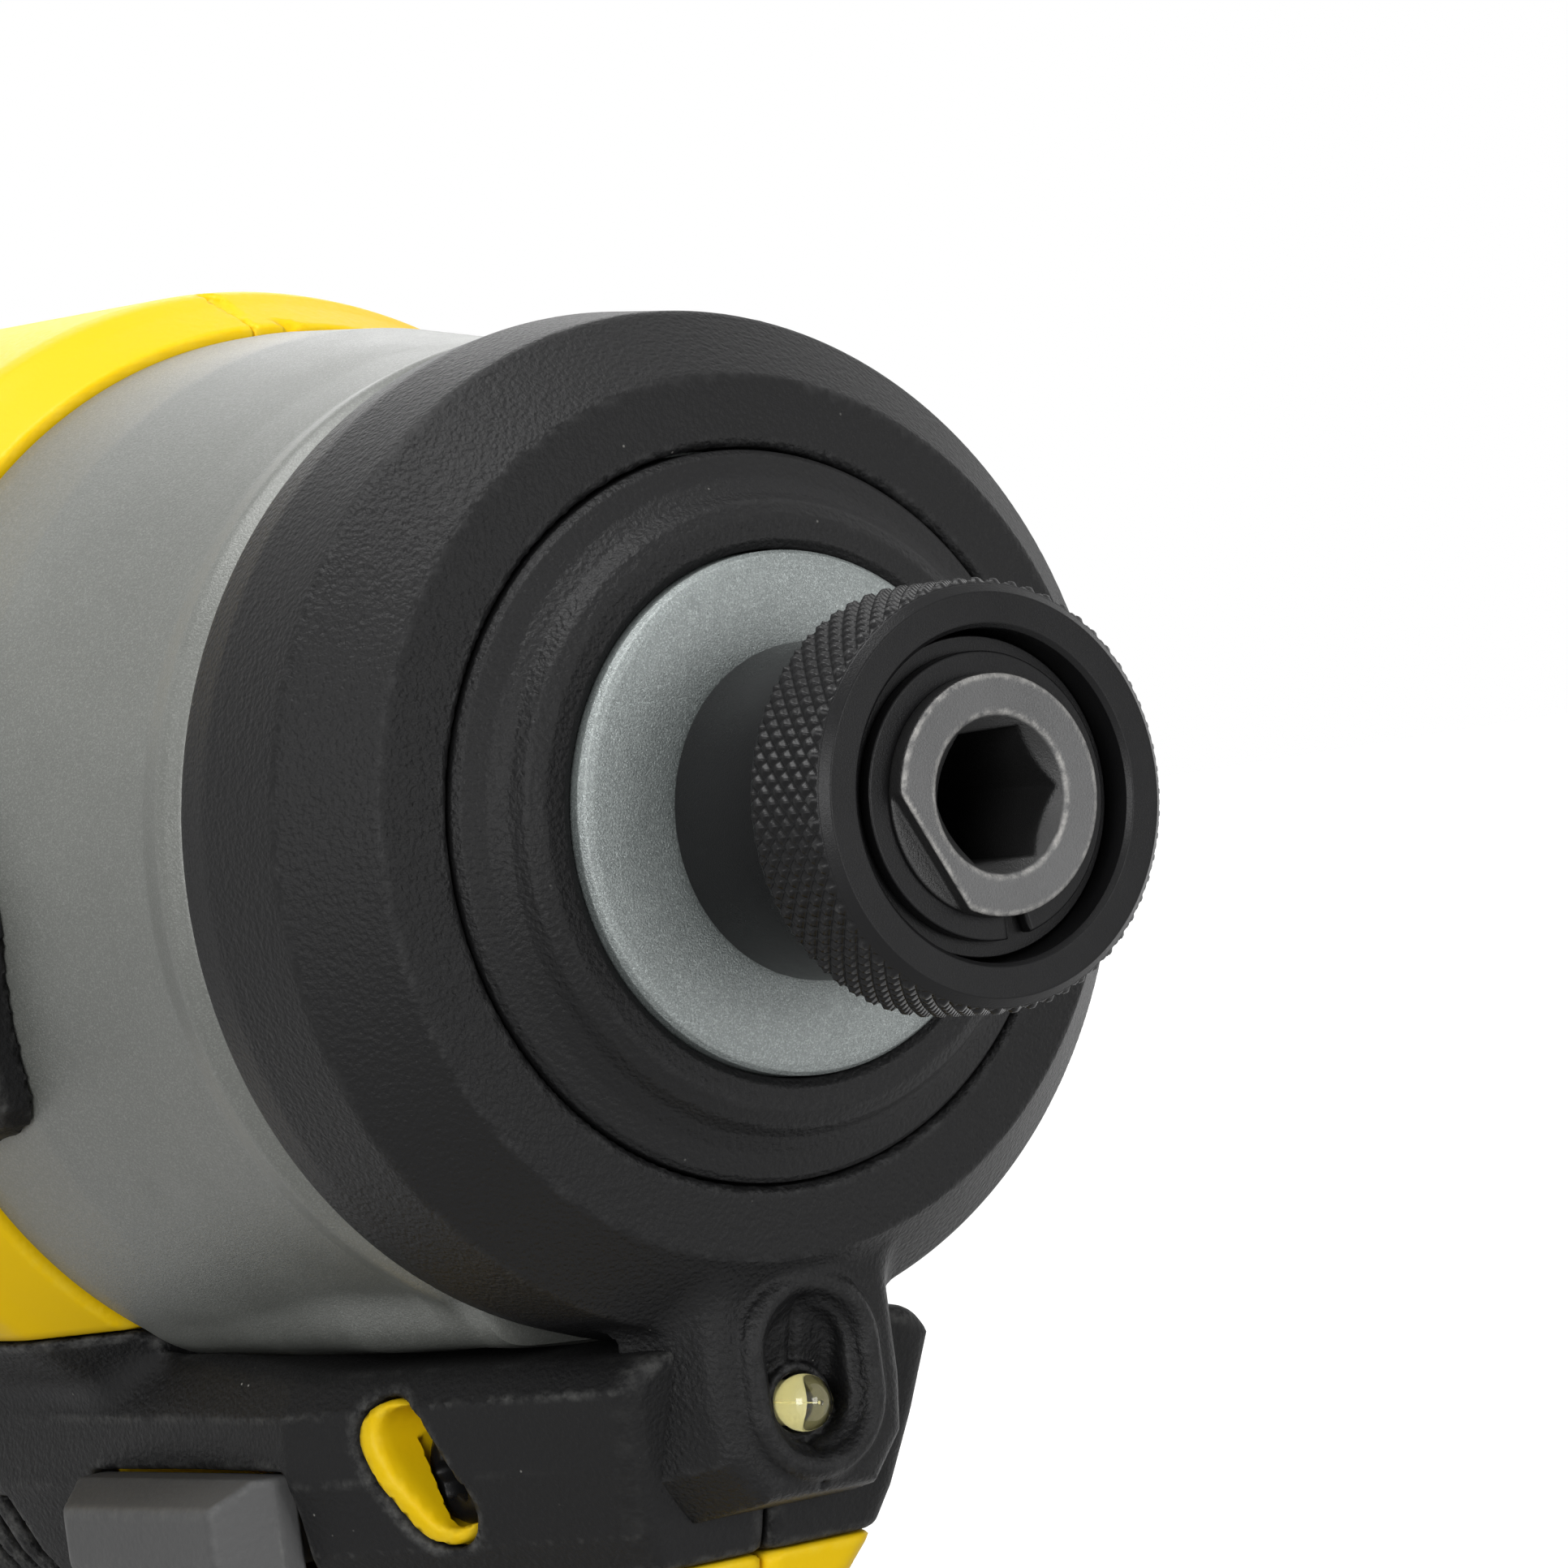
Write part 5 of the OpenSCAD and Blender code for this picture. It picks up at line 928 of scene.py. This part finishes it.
def button(x, y, z):
    """Direction button: bar through the chin with bevelled grey ends."""
    x, z = x - BUTTON_AT[0], z - BUTTON_AT[1]
    bar = box3((x, y, z + 0.4), (-7, -17, -1.8), (7, 17, 1.8), 0.3)
    out = np.abs(y)
    end = smax(np.abs(x) - 9.6 + 0.72 * np.maximum(out - 17.0, 0),
               np.abs(z) - 2.95 + 0.62 * np.maximum(out - 17.8, 0), 0.35)
    end = smax(smax(end * 0.85, out - 20, 0.35), 15.5 - out, 0.3)
    return np.minimum(bar, end)


# ---------------------------------------------------------------- build

def head():
    """Everything of the nose, and the button and screws under it."""
    sleeve()
    case_body()
    # Nose disc of the case, in a lighter copy of the case paint that stands for the light falling on it
    spin("case_nose", [(7.7, -30), (7.7, -15.95), (8.96, -15.98), (10.4, -16.08), (11.8, -16.3), (12.8, -16.55),
                       (13.2, -16.75), (13.41, -17.1), (13.41, -24), (18.9, -24), (24.9, -27.6), (24.9, -30)],
         [0, 0.1, 3, 4, 4, 1, 0.3, 0.2, 0, 0, 0, 0], "tool", "disc_paint", ["hammer_case"],
         wear=0.3)
    spin("nose_ring_shell", [(13.51, -23.95), (13.51, -17.6), (14.01, -17.28), (15.21, -17.33), (16.01, -17.83),
                             (16.51, -18.73), (17.31, -19.43), (18.5, -19.98), (18.8, -20.4), (18.8, -23.95)],
         [0, 0.3, 0.3, 0.8, 0.8, 0.8, 0.8, 0.4, 0.25, 0], "tool", "nose_ring", ["nose_ring"], wear=0.5)
    solid("boot_shell", boot, (-35, -27.5, -36.6), (-20, 27.5, 27.5), 0.3, "tool", "boot_rubber", ["nose_boot"],
          fine=(None, (-9, 9), (-37, -24)), grow=1.9)
    lamp()
    solid("anvil_shaft", anvil, (-43.5, -18.5, -18.5), (0.8, 18.5, 18.5), 0.16, "anvil_body", "anvil_steel",
          ["anvil"], fine=((-3, 1), (-6.5, 6.5), (-6.5, 6.5)), grow=5)
    split_ring()
    solid("button_ends", button, (-69, -20.5, -38.2), (-47, 20.5, -31), 0.3, "direction", "grey_plastic",
          ["direction_button"], fine=(None, (-21, -14), None), grow=2)
    screw_heads()


def halves():
    """The yellow shell and the soft layer of each side."""
    for name, low_y, high_y in (("left", 0, 36), ("right", -36, 0)):
        right = name == "right"
        solid("housing_shell_" + name, lambda x, y, z: hard_half(x, y, z, right), (-139, low_y, -147),
              (-21, high_y, 32.5), 0.42, "tool", "yellow_housing", ["housing_" + name],
              fine=((-72, -20), None, (-45, 40)), grow=2.0)
        solid("grip_shell_" + name, lambda x, y, z: soft_layer(x, y, z, right), (-139, low_y, -128),
              (-21, high_y, 15), 0.36, "tool", "soft_grip", ["overmold_" + name],
              fine=((-72, -20), None, (-45, -20)), grow=1.7)


def cad(name, mat, bevel):
    """Carried-over CAD node: flat faces joined again, edges broken, procedural finish."""
    obj = frame["nodes"][name]
    obj.data.materials.clear()
    obj.data.materials.append(MAT[mat])
    weld = obj.modifiers.new("weld", "WELD")
    weld.merge_threshold = 1e-6
    if bevel:
        flat = obj.modifiers.new("flat", "DECIMATE")
        flat.decimate_type = "DISSOLVE"
        flat.angle_limit = math.radians(1.0)
        round_off = obj.modifiers.new("round_off", "BEVEL")
        round_off.width = bevel / 1000
        round_off.segments = 2
        round_off.limit_method = "ANGLE"
        round_off.angle_limit = math.radians(32)
        round_off.harden_normals = True
        round_off.miter_outer = "MITER_ARC"


# Material and edge radius of each carried-over node; the others take the material of their slot
CAD_LOOKS = {
    "sleeve_washer": ("black_oxide", 0.06),
    "sleeve_spring": ("bright_steel", 0), "ball_upper": ("bright_steel", 0), "ball_lower": ("bright_steel", 0),
    "trigger": ("hard_black", 0.6), "belt_hook": ("black_oxide", 0.25), "hook_screw": ("black_oxide", 0.1),
    "battery_screws": ("black_oxide", 0.1),
    "accessory_nut": ("bright_steel", 0.1), "hammer": ("dark_steel", 0.2), "hammer_spring": ("bright_steel", 0),
    "planet_carrier": ("dark_steel", 0.1), "planet_pins": ("bright_steel", 0.1), "cam_balls": ("bright_steel", 0),
    "anvil_bushing": ("bronze", 0.08), "thrust_washer": ("bronze", 0.05), "stator_coils": ("copper_wire", 0.2),
    "rotor_magnets": ("magnet", 0.1), "lamp_leads": ("lead_wire", 0), "battery_contacts": ("contact_brass", 0.05),
    "control_board": ("board", 0.1), "sensor_board": ("board", 0.1), "battery_cells": ("cell_wrap", 0.4),
    "gauge_button": ("grey_plastic", 0.2), "latch_button": ("soft_grip", 0.4),
    "battery_lower_case": ("hard_black", 0.6), "battery_upper_case": ("soft_grip", 0.5),
}


def carried():
    slots = {node: entry.get("slot") for entry in frame["record"].get("materials", [])
             for node in entry.get("nodes", [])}
    for name in frame["nodes"]:
        mat = slots.get(name)
        cad(name, *CAD_LOOKS.get(name, (mat if mat in MAT else "bright_steel", 0.1)))


def pale_floor():
    """Floor that keeps the object's shadow near it and fades to white farther off."""
    floor = new_object("floor", [(x, y, 0) for y in (-4, 4) for x in (-4, 4)], [(0, 1, 3, 2)])
    n = Nodes(bpy.data.materials.new("floor"))
    shader = n.add("ShaderNodeBsdfPrincipled", Roughness=0.75)
    n.link(n.mix(n.noise(n.coords(), 3, 3), (0.21, 0.21, 0.21), (0.23, 0.23, 0.23)), shader.inputs["Base Color"])
    away = n.add("ShaderNodeVectorMath", operation="LENGTH")
    n.link(n.coords(), away.inputs[0])
    n.link(n.math("MULTIPLY", n.seen(), n.ramp(away.outputs["Value"], 0.25, 0.8, 0.74, 1.0)),
           shader.inputs["Emission Strength"])
    shader.inputs["Emission Color"].default_value = (1, 1, 1, 1)
    floor.data.materials.append(finish_material(n, shader))


def white_world():
    """Soft light on the object, plain white where the background is seen."""
    world = bpy.data.worlds.new("world")
    bpy.context.scene.world = world
    n = Nodes(world, "ShaderNodeOutputWorld")
    soft = n.add("ShaderNodeBackground", Color=(0.93, 0.96, 1, 1), Strength=0.2)
    white = n.add("ShaderNodeBackground", Color=(1, 1, 1, 1), Strength=1.0)
    mix = n.add("ShaderNodeMixShader")
    for slot, source in enumerate((n.seen(), soft.outputs[0], white.outputs[0])):
        n.link(source, mix.inputs[slot])
    n.link(mix.outputs[0], n.out.inputs["Surface"])


look_camera()
pale_floor()
white_world()
for name, lamp_settings in LAMPS.items():
    area_light(name, *lamp_settings)
carried()
head()
halves()

view_settings = bpy.context.scene.view_settings
view_settings.view_transform = "Standard"
